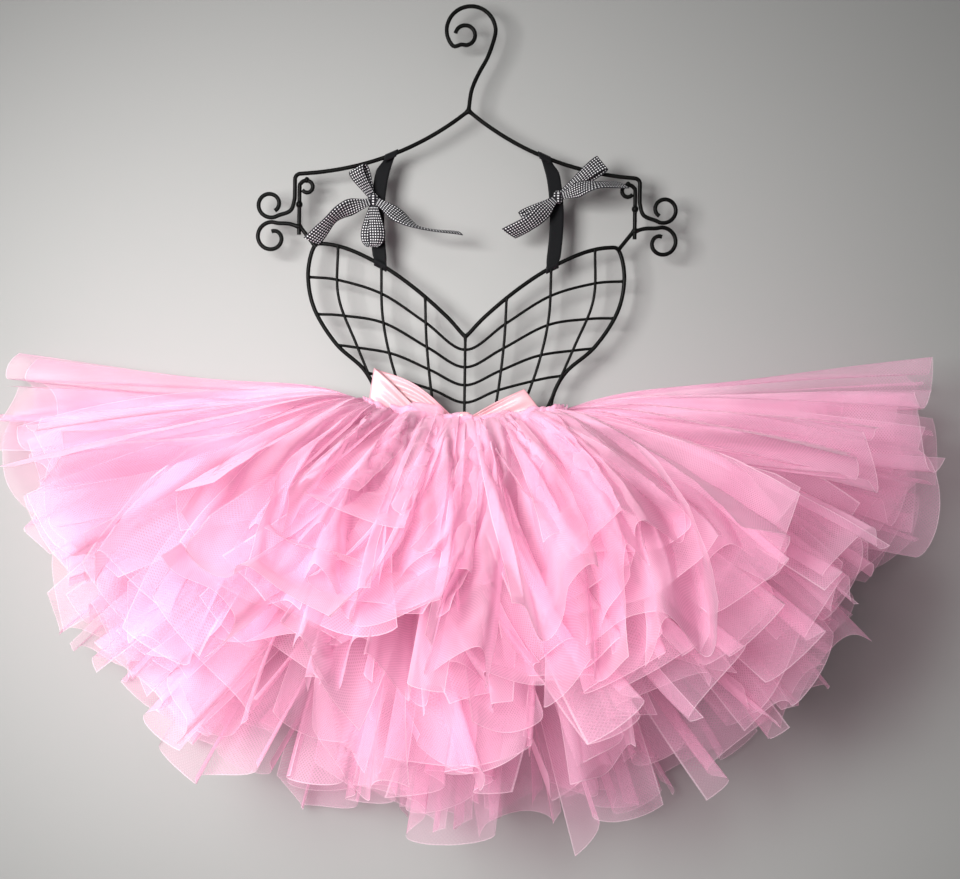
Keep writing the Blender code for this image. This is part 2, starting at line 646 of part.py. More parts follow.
def leaf_point(tier, angle, share):
    """The point at a share of a leaf's length, and the tier's outward direction there."""
    turn = math.radians(angle)
    cosine = math.cos(turn)
    root_z = leaf_root_z(cosine) if math.sin(turn) < 0 else ROOT_TOP_Z
    point = Vector((ROOT_HALF_WIDTH * cosine, tier["root_y"], root_z + tier["rise"]))
    reach = STRIP_LENGTH * tier["length_share"] * (1.0 - SIDE_SHORTENING * cosine * cosine)
    step = reach * share / RAY_STEPS
    for index in range(RAY_STEPS):
        point += leaf_direction(tier, angle, share * (index + 0.5) / RAY_STEPS) * step
    direction = leaf_direction(tier, angle, share)
    across = Vector((-math.sin(turn), 0.0, math.cos(turn)))
    return point, direction.cross(across).normalized()


def room_at(tiers, number, angle, share):
    """How far a tier may swing to either side at a point without meeting the next tiers."""
    point, outward = leaf_point(tiers[number], angle, share)
    rooms = []
    for other in (number - 1, number + 1):
        if 0 <= other < len(tiers) and tiers[other]["half"] == tiers[number]["half"]:
            rooms.append(abs((leaf_point(tiers[other], angle, share)[0] - point).dot(outward)))
    return max(0.0, ROOM_SHARE * (min(rooms) - TULLE_THICKNESS - SEAM_GAP) / 2)


def strip_style(rng):
    """What makes one strip unlike the next: wave, twist, lift, length and the slant of its cut end."""
    return {
        "phase": rng.uniform(0.0, math.tau),
        "twist": rng.choice((-1.0, 1.0)) * rng.uniform(0.4, 1.0),
        "lift": rng.uniform(-1.0, 1.0),
        "length": rng.uniform(-LENGTH_JITTER, LENGTH_JITTER),
        "slant": rng.uniform(-CUT_SLANT, CUT_SLANT),
    }


def swing(style, across):
    """How a strip uses its tier's room at a place across its width, between -1 and 1."""
    wave = math.sin(math.tau * WAVES_PER_STRIP * (across + 1.0) / 2 + style["phase"])
    return WAVE_SHARE * wave + TWIST_SHARE * style["twist"] * across + LIFT_SHARE * style["lift"]


def tier_surface(tiers, number, rng):
    """The middle surface of one tier: strips side by side, joined at the top and slit apart below."""
    tier = tiers[number]
    count, columns = tier["strips"], tier["faces_across"]
    half_angle = (tier["last_angle"] - tier["first_angle"]) / count / 2
    styles = [strip_style(rng) for _ in range(count)]
    surface = bmesh.new()
    strips = []
    for index, style in enumerate(styles):
        centre_angle = tier["first_angle"] + half_angle * (2 * index + 1)
        grid = []
        for row, share in enumerate(STRIP_ROWS):
            joined = row <= SLIT_ROW
            open_share = smoothstep((share - STRIP_ROWS[SLIT_ROW]) / (1.0 - STRIP_ROWS[SLIT_ROW]))
            gap_share = 0.0 if joined else SLIT_HEAD_SHARE + (1.0 - SLIT_HEAD_SHARE) * open_share
            fill = 1.0 - (1.0 - STRIP_FILL) * gap_share
            verts = []
            for column in range(columns + 1):
                across = 2.0 * column / columns - 1.0
                if joined and column == 0 and index > 0:
                    verts.append(strips[index - 1][row][-1])
                    continue
                angle = centre_angle + half_angle * fill * across
                size = 1.0 + (style["length"] + style["slant"] * across) * open_share
                point, outward = leaf_point(tier, angle, share * size)
                amount = swing(style, across)
                if joined and column == columns and index < count - 1:
                    amount = (amount + swing(styles[index + 1], -1.0)) / 2
                point += outward * amount * room_at(tiers, number, angle, share)
                verts.append(surface.verts.new(point))
            grid.append(verts)
        strips.append(grid)
        for upper, lower in zip(grid, grid[1:]):
            for column in range(columns):
                surface.faces.new((upper[column], upper[column + 1], lower[column + 1], lower[column]))
    return surface


def build_tutu(collection, tulle, elastic):
    """Waistband, the two rows of knots, and the tiers of leaves from the wall to the front."""
    tiers = placed_tiers()
    rng = random.Random(JITTER_SEED)
    build_waistband(collection, elastic)
    add_mesh("knots_front", knot_row(KNOTS_FRONT_Y, KNOTS_FRONT_DEPTH, tiers[-1]["rise"]), tulle, collection)
    add_mesh("knots_back", knot_row(KNOTS_BACK_Y, KNOTS_BACK_DEPTH, 0.0), tulle, collection)
    for number in range(len(tiers)):
        add_mesh("tulle_tier_%02d" % (number + 1), tier_surface(tiers, number, rng), tulle, collection,
                 TULLE_THICKNESS)


def main():
    clear_scene()
    collection = new_collection("ballet_tutu")
    enamel = new_material("black_enamel", (0.012, 0.013, 0.012), 0.38, 0.25)
    webbing = new_material("black_webbing", (0.018, 0.018, 0.020), 0.72)
    gingham = new_material("gingham_ribbon", (0.30, 0.30, 0.33), 0.65)
    satin = new_material("pink_satin", (0.93, 0.55, 0.55), 0.30)
    elastic = new_material("pink_elastic", (0.90, 0.45, 0.55), 0.70)
    tulle = new_material("pink_tulle", (0.95, 0.35, 0.52), 0.80)
    build_hanger(collection, enamel)
    build_straps(collection, webbing)
    build_gingham_bows(collection, gingham)
    build_satin_bow(collection, satin)
    build_tutu(collection, tulle, elastic)


main()
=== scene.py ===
"""Ballet tutu on a wire bust hanger: smooth wires, woven ribbons and many leaves of sheer net.

Sizes are in millimetres and become metres when a piece is made. +Z is up, -Y is the front, and the origin is
the inside crown of the hanger's hook. Routes and grids of points are numpy arrays whose last axis is x, y, z.
"""
import logging
import math
from dataclasses import dataclass, field
from enum import Enum
from typing import Optional, Sequence

import bpy
import numpy as np
from mathutils import Matrix, Vector


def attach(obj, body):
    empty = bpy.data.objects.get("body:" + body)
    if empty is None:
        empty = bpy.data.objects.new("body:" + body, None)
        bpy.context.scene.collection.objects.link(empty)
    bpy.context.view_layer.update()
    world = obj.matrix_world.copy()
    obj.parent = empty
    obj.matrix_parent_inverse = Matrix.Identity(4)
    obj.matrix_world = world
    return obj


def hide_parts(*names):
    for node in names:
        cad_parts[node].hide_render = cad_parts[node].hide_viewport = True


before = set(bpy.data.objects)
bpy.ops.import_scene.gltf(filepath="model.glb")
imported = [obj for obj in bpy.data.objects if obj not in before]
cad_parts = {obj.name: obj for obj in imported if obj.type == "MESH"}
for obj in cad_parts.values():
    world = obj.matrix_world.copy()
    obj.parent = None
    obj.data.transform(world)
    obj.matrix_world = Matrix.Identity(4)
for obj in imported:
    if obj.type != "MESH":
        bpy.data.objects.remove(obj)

MM = 0.001                  # metres
PER_METRE = 1000.0          # millimetres
WAIST_DIP = 11.0            # millimetres that the waist line hangs down at its middle
WAIST_HALF_WIDTH = 83.5     # millimetres
TIERS = 10
WELD_REACH = 2.2            # radii over which a rod swells towards a weld
ROD_FACETS = 3              # rings of bevel that round a rod off
OFF_THE_CUT = -9.0          # a length that no cut reaches, for a ribbon whose ends show no line
CUT_MAP = "flat_cut"
FRONT = np.array((0.0, -1.0, 0.0))
LOG = logging.getLogger("ballet_tutu")

Array = np.ndarray
Route = np.ndarray      # points of a line, one row each
Grid = np.ndarray       # rows and columns of points
Pair = tuple[float, float]
Triple = tuple[float, float, float]
Colour = tuple[float, float, float]
Material = bpy.types.Material
Node = bpy.types.Node
Socket = bpy.types.NodeSocket
Sockets = bpy.types.bpy_prop_collection
Tree = bpy.types.NodeTree
Piece = bpy.types.Object


class Side(Enum):
    """The two sides of the hanger, with the sign of their x."""

    LEFT = -1.0
    RIGHT = 1.0

    @property
    def label(self) -> str:
        """The word that piece and node names use."""
        return self.name.lower()


class Half(Enum):
    """The two halves of the skirt, with the direction that leads away from the waistband along y."""

    BACK = 1.0
    FRONT = -1.0


class Hold(Enum):
    """How a sheet of cloth is held."""

    GATHERED = "gathered"
    HUNG = "hung"
    FOLDED = "folded"
    STRETCHED = "stretched"


# ======================== numbers, routes and grids
def smoothstep(value: Array | float) -> Array:
    """A smooth rise from 0 to 1 while the value goes from 0 to 1."""
    value = np.clip(value, 0.0, 1.0)
    return value * value * (3.0 - 2.0 * value)


def unit(vectors: Array) -> Array:
    """The vectors scaled to a length of 1."""
    return vectors / np.maximum(np.linalg.norm(vectors, axis=-1, keepdims=True), 1e-9)


def in_plane(places: Sequence[Sequence[float]], y: float = 0.0) -> Route:
    """Points from pairs of x and z, all at one depth."""
    flat = np.array(places, float)
    return np.stack([flat[:, 0], np.full(len(flat), y), flat[:, 1]], axis=1)


def on_side(route: Route, side: Side) -> Route:
    """A route of the right side, or its mirror image for the left."""
    return route * np.array((side.value, 1.0, 1.0))


def arc(centre: Sequence[float], degrees: Sequence[float], radii: Sequence[float], steps: int,
        power: float = 1.0) -> Route:
    """An arc in the plane of the rods, or a scroll when its two radii differ.

    Args:
        centre: x and z of the middle.
        degrees: the angles where it starts and ends.
        radii: the radii where it starts and ends.
        steps: how many stretches it is divided into.
        power: above 1, the radius changes mostly near the end.

    Returns:
        The route.
    """
    share = np.linspace(0.0, 1.0, steps + 1)
    turn = np.radians(degrees[0] + (degrees[1] - degrees[0]) * share)
    radius = radii[0] + (radii[1] - radii[0]) * share ** power
    return in_plane(np.stack([centre[0] + radius * np.cos(turn), centre[1] + radius * np.sin(turn)], axis=1))


def bezier(start: Array, handle: Array, end: Array, share: Array) -> Array:
    """The points at those shares of a curve from start to end that one middle handle pulls aside."""
    return start * (1 - share) ** 2 + handle * 2 * share * (1 - share) + end * share ** 2


def smooth_route(points: Route, fine: int = 12) -> Route:
    """A finely divided smooth curve through the points.

    Args:
        points: what it passes through, in order.
        fine: how many steps each stretch between two points gets.

    Returns:
        The curve, with its first and last point kept.
    """
    points = np.asarray(points, float)
    padded = np.vstack([2 * points[0] - points[1], points, 2 * points[-1] - points[-2]])
    share = np.arange(fine)[:, None] / fine
    route = []
    for before, start, end, after in zip(padded, padded[1:], padded[2:], padded[3:]):
        route.append(0.5 * (2 * start + (end - before) * share
                            + (2 * before - 5 * start + 4 * end - after) * share ** 2
                            + (3 * start - before - 3 * end + after) * share ** 3))
    return np.vstack(route + [points[-1:]])


def lengths_along(route: Route) -> Array:
    """The distance of each point from the route's start, measured along it."""
    return np.concatenate([[0.0], np.cumsum(np.linalg.norm(np.diff(route, axis=0), axis=1))])


def resampled(route: Route, spacing: float) -> Route:
    """The same route with evenly spaced points.

    Args:
        route: the route.
        spacing: how far apart they lie.

    Returns:
        The new route, of two points at least.
    """
    along = lengths_along(route)
    places = np.linspace(0.0, along[-1], max(2, round(along[-1] / spacing) + 1))
    return np.stack([np.interp(places, along, route[:, axis]) for axis in range(3)], axis=1)


def tangents(route: Route) -> Array:
    """The direction of the route at each of its points."""
    padded = np.vstack([2 * route[0] - route[1], route, 2 * route[-1] - route[-2]])
    return unit(padded[2:] - padded[:-2])


def ribbon_grid(route: Route, half_widths: Array, rolls: Array, columns: int = 6,
                level: Optional[Array] = None, cup: float = 0.0) -> Grid:
    """A ribbon along a route: roll 0 shows its face to the front, roll 90 stands on edge.

    Args:
        route: its middle line.
        half_widths: half of its width at each point of the route.
        rolls: degrees of roll at each point.
        columns: faces across its width.
        level: the ribbon's width where the roll is 0, for a route that turns back on itself.
        cup: how far its long edges curl back, as a share of the half width.

    Returns:
        The grid, one row of points for each point of the route.
    """
    along = tangents(route)
    flat = np.broadcast_to(unit(level), along.shape) if level is not None else unit(np.cross(along, FRONT))
    raised = np.broadcast_to(FRONT, along.shape) if level is not None else unit(np.cross(flat, along))
    turn = np.radians(rolls)[:, None]
    across = flat * np.cos(turn) + raised * np.sin(turn)
    face = raised * np.cos(turn) - flat * np.sin(turn)
    place = np.linspace(-1.0, 1.0, columns + 1)[None, :, None]
    size = np.asarray(half_widths)[:, None, None]
    return route[:, None] + across[:, None] * place * size - face[:, None] * cup * size * place ** 2


def round_angles(rows: int, columns: int) -> tuple[Array, Array]:
    """The rise of each row of a lump, from its foot to its top, and the turn of each column about z."""
    return np.linspace(-1.0, 1.0, rows)[:, None] * math.pi / 2, np.linspace(0.0, math.tau, columns)[None, :]


def lump_grid(half: Sequence, girth: Array, rise: Array, turn: Array) -> Grid:
    """A round lump about the origin, from half its size each way and its girth at each rise and turn."""
    return np.stack([half[0] * girth * np.cos(turn), half[1] * girth * np.sin(turn),
                     half[2] * np.sin(rise) * np.ones_like(turn)], axis=-1)


# ======================== making pieces
def link(thing: Piece) -> None:
    """Puts an object into the scene."""
    bpy.context.scene.collection.objects.link(thing)


def add_rod(name: str, route: Route, radius: float, material: Material, nodes: Sequence[str],
            flares: Sequence[float] = (1.0, 1.0), spacing: float = 1.5) -> Piece:
    """A round rod or wire along a route.

    Args:
        name: the piece's name.
        route: its middle line.
        radius: its radius.
        material: its finish.
        nodes: the solids that it stands for.
        flares: how much thicker it is where its start and its end are welded to a neighbour.
        spacing: how far apart its points lie.

    Returns:
        The piece.
    """
    route = resampled(route, spacing)
    along = lengths_along(route)
    reach = WELD_REACH * radius
    swell = 1.0 + (flares[0] - 1.0) * (1.0 - smoothstep(along / reach))
    swell += (flares[1] - 1.0) * (1.0 - smoothstep((along[-1] - along) / reach))
    curve = bpy.data.curves.new(name, "CURVE")
    curve.dimensions = "3D"
    curve.bevel_depth = radius * MM
    curve.bevel_resolution = ROD_FACETS
    curve.use_fill_caps = True
    spline = curve.splines.new("POLY")
    spline.points.add(len(route) - 1)
    spline.points.foreach_set("co", np.hstack([route * MM, np.ones((len(route), 1))]).ravel())
    spline.points.foreach_set("radius", swell)
    spline.use_smooth = True
    curve.materials.append(material)
    rod = bpy.data.objects.new(name, curve)
    return place_piece(rod, nodes)


def place_piece(piece: Piece, nodes: Sequence[str]) -> Piece:
    """Links a piece, lets it ride on the object, and says which solids it stands for.

    Args:
        piece: the new piece.
        nodes: the solids that it stands for, which may be none.

    Returns:
        The piece.
    """
    link(piece)
    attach(piece, "root")
    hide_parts(*nodes)
    LOG.info("%s: %s", piece.name, ", ".join(nodes) or "no solid of its own")
    return piece


@dataclass
class Patch:
    """A grid of points with what its cloth needs: its place on the flat cut, and a number of its own."""

    grid: Grid
    across: Array  # place across the cut at each point, in millimetres
    along: Array  # place along the cut
    shade: float = 0.0


def ribbon_patch(grid: Grid, width: float) -> Patch:
    """A patch of ribbon whose place along the cut is measured on its middle line.

    Args:
        grid: its points.
        width: the width that it was cut to.

    Returns:
        The patch.
    """
    middle = grid[:, grid.shape[1] // 2]
    along = np.broadcast_to(lengths_along(middle)[:, None], grid.shape[:2])
    across = np.broadcast_to(np.linspace(0.0, width, grid.shape[1])[None, :], grid.shape[:2])
    return Patch(grid, across, along)


def add_cloth(name: str, patches: Sequence[Patch], material: Material,
              nodes: Sequence[str], thickness: float = 0.0) -> Piece:
    """One piece of cloth from one or more patches.

    Args:
        name: the piece's name.
        patches: its grids of points.
        material: its finish.
        nodes: the solids that it stands for.
        thickness: its wall, or 0 for a single surface.

    Returns:
        The piece, with a UV map in metres on the flat cut and one number for each patch.
    """
    points, faces, cut, shades = [], [], [], []
    offset = 0
    for patch in patches:
        rows, columns = patch.grid.shape[:2]
        numbers = np.arange(rows * columns).reshape(rows, columns) + offset
        corners = (numbers[:-1, :-1], numbers[:-1, 1:], numbers[1:, 1:], numbers[1:, :-1])
        faces.append(np.stack([corner.ravel() for corner in corners], axis=1))
        points.append(patch.grid.reshape(-1, 3))
        cut.append(np.stack([patch.across.ravel(), patch.along.ravel()], axis=1))
        shades.append(np.full(rows * columns, patch.shade))
        offset += rows * columns
    all_faces = np.vstack(faces)
    mesh = bpy.data.meshes.new(name)
    mesh.from_pydata((np.vstack(points) * MM).tolist(), [], all_faces.tolist())
    uv = mesh.uv_layers.new(name=CUT_MAP)
    uv.uv.foreach_set("vector", (np.vstack(cut)[all_faces.ravel()] * MM).ravel())
    shade = mesh.attributes.new("shade", "FLOAT", "POINT")
    shade.data.foreach_set("value", np.concatenate(shades))
    mesh.materials.append(material)
    mesh.shade_smooth()
    piece = bpy.data.objects.new(name, mesh)
    if thickness:
        wall = piece.modifiers.new("wall", "SOLIDIFY")
        wall.thickness = thickness * MM
        wall.offset = 0.0
    return place_piece(piece, nodes)


# ======================== shader nodes
class Nodes:
    """Short ways to place and join the nodes of one tree."""

    def __init__(self, tree: Tree) -> None:
        """Takes the tree that the nodes go into."""
        self.tree = tree

    def new(self, kind: str, **settings: object) -> Node:
        """A shader node of that kind.

        Args:
            kind: the last words of its type.
            settings: its own settings, by name.

        Returns:
            The node.
        """
        node = self.tree.nodes.new("ShaderNode" + kind)
        for name, value in settings.items():
            setattr(node, name, value)
        return node

    def feed(self, socket: Socket, value: object) -> None:
        """Links a socket to another, or sets it to a plain value.

        Args:
            socket: the input.
            value: an output, a plain value, or None to leave the input as it is.
        """
        if isinstance(value, Socket):
            self.tree.links.new(value, socket)
        elif value is not None:
            socket.default_value = value

    def fed(self, kind: str, given: dict, **settings: object) -> Node:
        """A shader node of that kind with its inputs fed.

        Args:
            kind: the last words of its type.
            given: what its inputs get, by name or number.
            settings: its own settings, by name.

        Returns:
            The node.
        """
        node = self.new(kind, **settings)
        for name, value in given.items():
            self.feed(node.inputs[name], value)
        return node

    def maths(self, operation: str, *values: object, clamp: bool = False) -> Socket:
        """The result of one sum of outputs or numbers. Clamp keeps it between 0 and 1."""
        return self.fed("Math", dict(enumerate(values)), operation=operation, use_clamp=clamp).outputs[0]

    def ramp(self, *values: object) -> Socket:
        """The first value, taken smoothly from the next two to 0 and 1, or to two more that follow."""
        return self.fed("MapRange", dict(enumerate(values)), interpolation_type="SMOOTHSTEP").outputs[0]

    def mix(self, share: object, first: object, second: object) -> Socket:
        """A colour between the first one, at a share of 0, and the second one, at 1."""
        given = {"Factor": share, "A": first, "B": second}
        return self.fed("Mix", given, data_type="RGBA").outputs["Result"]

    def noise(self, vector: object, scale: object, detail: float = 2.0) -> Socket:
        """Soft noise between 0 and 1, with a scale for its lumps and a number of finer layers."""
        return self.fed("TexNoise", {"Vector": vector, "Scale": scale, "Detail": detail}).outputs[0]

    def cut(self) -> Socket:
        """The place on the flat cut, in metres."""
        return self.new("UVMap", uv_map=CUT_MAP).outputs[0]

    def across_and_along(self, cut: object) -> list[Socket]:
        """The place across the cut and the place along it, in metres."""
        return list(self.fed("SeparateXYZ", {0: cut}).outputs)[:2]

    def raise_surface(self, shader: Node, height: object, strength: float, depth: float) -> None:
        """Lets a height from 0 to 1 stand out of a shader's surface, with its depth in metres."""
        bump = self.fed("Bump", {"Strength": strength, "Distance": depth, "Height": height})
        self.feed(shader.inputs["Normal"], bump.outputs[0])

    def weave_surface(self, shader: Node, colour: object, threads: object, roughness: Pair, strength: float,
                      depth: float) -> None:
        """Gives a shader the surface of woven cloth.

        Args:
            shader: the shader.
            colour: its colour.
            threads: the height of its threads, from 0 to 1.
            roughness: between the threads and on them.
            strength: how strongly they show.
            depth: how deep they are, in metres.
        """
        self.feed(shader.inputs["Base Color"], colour)
        self.feed(shader.inputs["Roughness"], self.ramp(threads, 0.0, 1.0, *roughness))
        self.raise_surface(shader, threads, strength, depth)

    def blend(self, share: object, first: Node, second: Node) -> Node:
        """A mix of the first shader, at a share of 0, and the second one, at 1."""
        return self.fed("MixShader", {0: share, 1: first.outputs[0], 2: second.outputs[0]})

    def show(self, shader: Node) -> None:
        """Makes that shader the material's surface."""
        self.feed(self.tree.nodes["Material Output"].inputs["Surface"], shader.outputs[0])

    def group(self, tree: Tree, **values: object) -> Sockets:
        """The outputs of a node group with its own values. An underscore in a name stands for a space."""
        given = {name.replace("_", " "): value for name, value in values.items()}
        return self.fed("Group", given, node_tree=tree).outputs


def new_group(name: str, inputs: Sequence[tuple[str, str, object]],
              outputs: Sequence[tuple[str, str]]) -> tuple[Nodes, Sockets, Sockets]:
    """An empty node group with its sockets.

    Args:
        name: the group's name.
        inputs: name, kind and default of each input.
        outputs: name and kind of each output.

    Returns:
        The group's nodes, what it is given, and what it gives back.
    """
    tree = bpy.data.node_groups.new(name, "ShaderNodeTree")
    for label, kind, default in inputs:
        socket = tree.interface.new_socket(label, in_out="INPUT", socket_type="NodeSocket" + kind)
        if default is not None:
            socket.default_value = default
    for label, kind in outputs:
        tree.interface.new_socket(label, in_out="OUTPUT", socket_type="NodeSocket" + kind)
    return Nodes(tree), tree.nodes.new("NodeGroupInput").outputs, tree.nodes.new("NodeGroupOutput").inputs


def weave_group() -> Tree:
    """Plain weave: warp and weft threads that pass over and under each other.

    Returns:
        The node group.
    """
    nodes, given, result = new_group("plain_weave", [("Cut", "Vector", None), ("Pitch", "Float", 0.5)],
                                     [("Height", "Float"), ("Warp", "Float")])
    turns = [nodes.maths("MULTIPLY", nodes.maths("DIVIDE", place, given["Pitch"]), math.pi * PER_METRE)
             for place in nodes.across_and_along(given["Cut"])]
    warp, weft = (nodes.maths("ABSOLUTE", nodes.maths("SINE", turn)) for turn in turns)
    over = nodes.maths("MULTIPLY", *(nodes.maths("SINE", turn) for turn in turns))
    top = nodes.ramp(over, -0.2, 0.2)
    height = nodes.maths("ADD", nodes.maths("MULTIPLY", warp, top),
                         nodes.maths("MULTIPLY", weft, nodes.maths("SUBTRACT", 1.0, top)))
    nodes.feed(result["Height"], height)
    nodes.feed(result["Warp"], warp)
    return nodes.tree


def net_group() -> Tree:
    """Open net: two sets of slanting threads, thicker where they cross.

    Returns:
        The node group.
    """
    nodes, given, result = new_group("open_net", [("Cut", "Vector", None), ("Cell", "Float", 1.6)],
                                     [("Thread", "Float")])
    across, along = nodes.across_and_along(given["Cut"])
    slope, fineness = 0.62, 3.0
    threads = []
    for operation in ("ADD", "SUBTRACT"):
        slant = nodes.maths(operation, across, nodes.maths("MULTIPLY", along, slope))
        turn = nodes.maths("MULTIPLY", nodes.maths("DIVIDE", slant, given["Cell"]), math.pi * PER_METRE)
        threads.append(nodes.maths("POWER", nodes.maths("ABSOLUTE", nodes.maths("SINE", turn)), fineness))
    nodes.feed(result["Thread"], nodes.maths("MAXIMUM", *threads))
    return nodes.tree


def edge_group() -> Tree:
    """The line along a cut or woven edge: 1 on the edge, 0 inside.

    Returns:
        The node group.
    """
    inputs = [("Cut", "Vector", None), ("Width", "Float", 150.0), ("Length", "Float", 0.0),
              ("Line", "Float", 1.0)]
    nodes, given, result = new_group("edge_line", inputs, [("Mask", "Float")])
    across, along = (nodes.maths("MULTIPLY", place, PER_METRE)
                     for place in nodes.across_and_along(given["Cut"]))
    side = nodes.maths("MINIMUM", across, nodes.maths("SUBTRACT", given["Width"], across))
    end = nodes.maths("ABSOLUTE", nodes.maths("SUBTRACT", given["Length"], along))
    near = nodes.maths("MINIMUM", side, end)
    inside = nodes.maths("DIVIDE", near, given["Line"])
    nodes.feed(result["Mask"], nodes.ramp(inside, 0.35, 1.0, 1.0, 0.0))
    return nodes.tree


def variation_group() -> Tree:
    """Slow changes of colour and of a mask over a surface.

    Returns:
        The node group.
    """
    inputs = [("Vector", "Vector", None), ("Seed", "Float", 0.0), ("Scale", "Float", 20.0),
              ("Amount", "Float", 0.2), ("Colour", "Color", (0.5, 0.5, 0.5, 1.0)),
              ("Other colour", "Color", (0.5, 0.5, 0.5, 1.0))]
    nodes, given, result = new_group("slow_variation", inputs, [("Colour", "Color"), ("Mask", "Float")])
    moved = nodes.new("VectorMath", operation="ADD")
    nodes.feed(moved.inputs[0], given["Vector"])
    nodes.feed(moved.inputs[1], given["Seed"])
    mask = nodes.ramp(nodes.noise(moved.outputs[0], given["Scale"], 1.0), 0.3, 0.7)
    share = nodes.maths("MULTIPLY", mask, given["Amount"])
    colour = nodes.mix(share, given["Colour"], given["Other colour"])
    nodes.feed(result["Colour"], colour)
    nodes.feed(result["Mask"], mask)
    return nodes.tree


@dataclass
class Effects:
    """The node groups that the finishes share."""

    weave: Tree = field(default_factory=weave_group)
    net: Tree = field(default_factory=net_group)
    edge: Tree = field(default_factory=edge_group)
    variation: Tree = field(default_factory=variation_group)


def new_material(name: str) -> tuple[Material, Nodes, Node]:
    """A material that shows a Principled shader.

    Args:
        name: its name.

    Returns:
        The material, its nodes, and the shader.
    """
    material = bpy.data.materials.new(name)
    material.use_nodes = True
    nodes = Nodes(material.node_tree)
    return material, nodes, material.node_tree.nodes["Principled BSDF"]


def set_shader(shader: Node, **values: object) -> None:
    """Sets plain values on a shader's own sockets. An underscore in a name stands for a space."""
    for name, value in values.items():
        shader.inputs[name.replace("_", " ")].default_value = value


def opaque(colour: Sequence[float]) -> tuple[float, float, float, float]:
    """A colour with full alpha."""
    return (*colour, 1.0)


# ======================== finishes
@dataclass(frozen=True)
class EnamelFinish:
    """Black semi-gloss enamel, baked on over bent wire."""

    colour: Colour = (0.002, 0.002, 0.002)
    worn_colour: Colour = (0.005, 0.006, 0.005)
    roughness: Pair = (0.36, 0.52)
    grain: float = 420.0  # lumps in a metre

    def material(self, effects: Effects) -> Material:
        """The finish as a material.

        Args:
            effects: the shared node groups.

        Returns:
            The material.
        """
        material, nodes, shader = new_material("black_enamel_wire")
        place = nodes.new("TexCoord").outputs["Object"]
        varied = nodes.group(effects.variation, Vector=place, Scale=60.0, Amount=0.5,
                             Colour=opaque(self.colour), Other_colour=opaque(self.worn_colour))
        nodes.feed(shader.inputs["Base Color"], varied["Colour"])
        nodes.feed(shader.inputs["Roughness"], nodes.ramp(varied["Mask"], 0.0, 1.0, *self.roughness))
        nodes.raise_surface(shader, nodes.noise(place, self.grain), strength=0.25, depth=0.0004)
        set_shader(shader, Specular_IOR_Level=0.07, Coat_Weight=0.02, Coat_Roughness=0.2)
        return material


@dataclass(frozen=True)
class WebbingFinish:
    """Flat black webbing with a close plain weave, firmer edges, and a painted sheen on its thread crowns."""

    colour: Colour = (0.002, 0.002, 0.003)
    # painted sheen: the paler colour on the thread crowns, also used for the woven edge line
    thread_colour: Colour = (0.010, 0.011, 0.012)
    width: float = 12.0
    pitch: float = 0.55
    edge_line: float = 1.2
    crown_sheen_share: float = 0.6  # how far a thread's crown takes the painted sheen colour
    edge_share: float = 0.4  # and the woven edge

    def material(self, effects: Effects) -> Material:
        """The finish as a material.

        Args:
            effects: the shared node groups.

        Returns:
            The material.
        """
        material, nodes, shader = new_material("black_webbing_weave")
        cut = nodes.cut()
        weave = nodes.group(effects.weave, Cut=cut, Pitch=self.pitch)
        edge = nodes.group(effects.edge, Cut=cut, Width=self.width, Length=OFF_THE_CUT, Line=self.edge_line)
        # thread crowns take the painted sheen; the woven edge takes the same paler colour
        share = nodes.maths("ADD", nodes.maths("MULTIPLY", weave["Height"], self.crown_sheen_share),
                            nodes.maths("MULTIPLY", edge["Mask"], self.edge_share), clamp=True)
        colour = nodes.mix(share, opaque(self.colour), opaque(self.thread_colour))
        nodes.weave_surface(shader, colour, weave["Height"], (0.8, 0.55), strength=0.5, depth=0.0002)
        set_shader(shader, Specular_IOR_Level=0.12, Sheen_Weight=0.02, Sheen_Roughness=0.5)
        return material


@dataclass(frozen=True)
class GinghamFinish:
    """Black and white gingham ribbon: dark, half-dark and white checks between two woven edges."""

    dark: Colour = (0.005, 0.005, 0.007)
    half_dark: Colour = (0.030, 0.030, 0.036)
    white: Colour = (0.80, 0.80, 0.82)
    width: float = 15.0
    check: float = 2.35
    dark_from: Pair = (-0.60, -0.05)  # where a wave of the checks starts and ends turning dark
    pitch: float = 0.32
    edge_line: float = 0.9
    edge_share: float = 0.55

    def material(self, effects: Effects) -> Material:
        """The finish as a material.

        Args:
            effects: the shared node groups.

        Returns:
            The material.
        """
        material, nodes, shader = new_material("gingham_ribbon_check")
        cut = nodes.cut()
        stripes = []
        for place in nodes.across_and_along(cut):
            turns = nodes.maths("DIVIDE", nodes.maths("MULTIPLY", place, PER_METRE), self.check)
            wave = nodes.maths("SINE", nodes.maths("MULTIPLY", turns, math.tau))
            stripes.append(nodes.ramp(wave, *self.dark_from))
        either = nodes.maths("MAXIMUM", *stripes)
        both = nodes.maths("MULTIPLY", *stripes)
        colour = nodes.mix(either, opaque(self.white), opaque(self.half_dark))
        colour = nodes.mix(both, colour, opaque(self.dark))
        edge = nodes.group(effects.edge, Cut=cut, Width=self.width, Length=OFF_THE_CUT, Line=self.edge_line)
        share = nodes.maths("MULTIPLY", edge["Mask"], self.edge_share)
        colour = nodes.mix(share, colour, opaque(self.half_dark))
        weave = nodes.group(effects.weave, Cut=cut, Pitch=self.pitch)
        nodes.weave_surface(shader, colour, weave["Height"], (0.75, 0.5), strength=0.35, depth=0.00012)
        set_shader(shader, Specular_IOR_Level=0.2, Sheen_Weight=0.03, Sheen_Roughness=0.4)
        return material


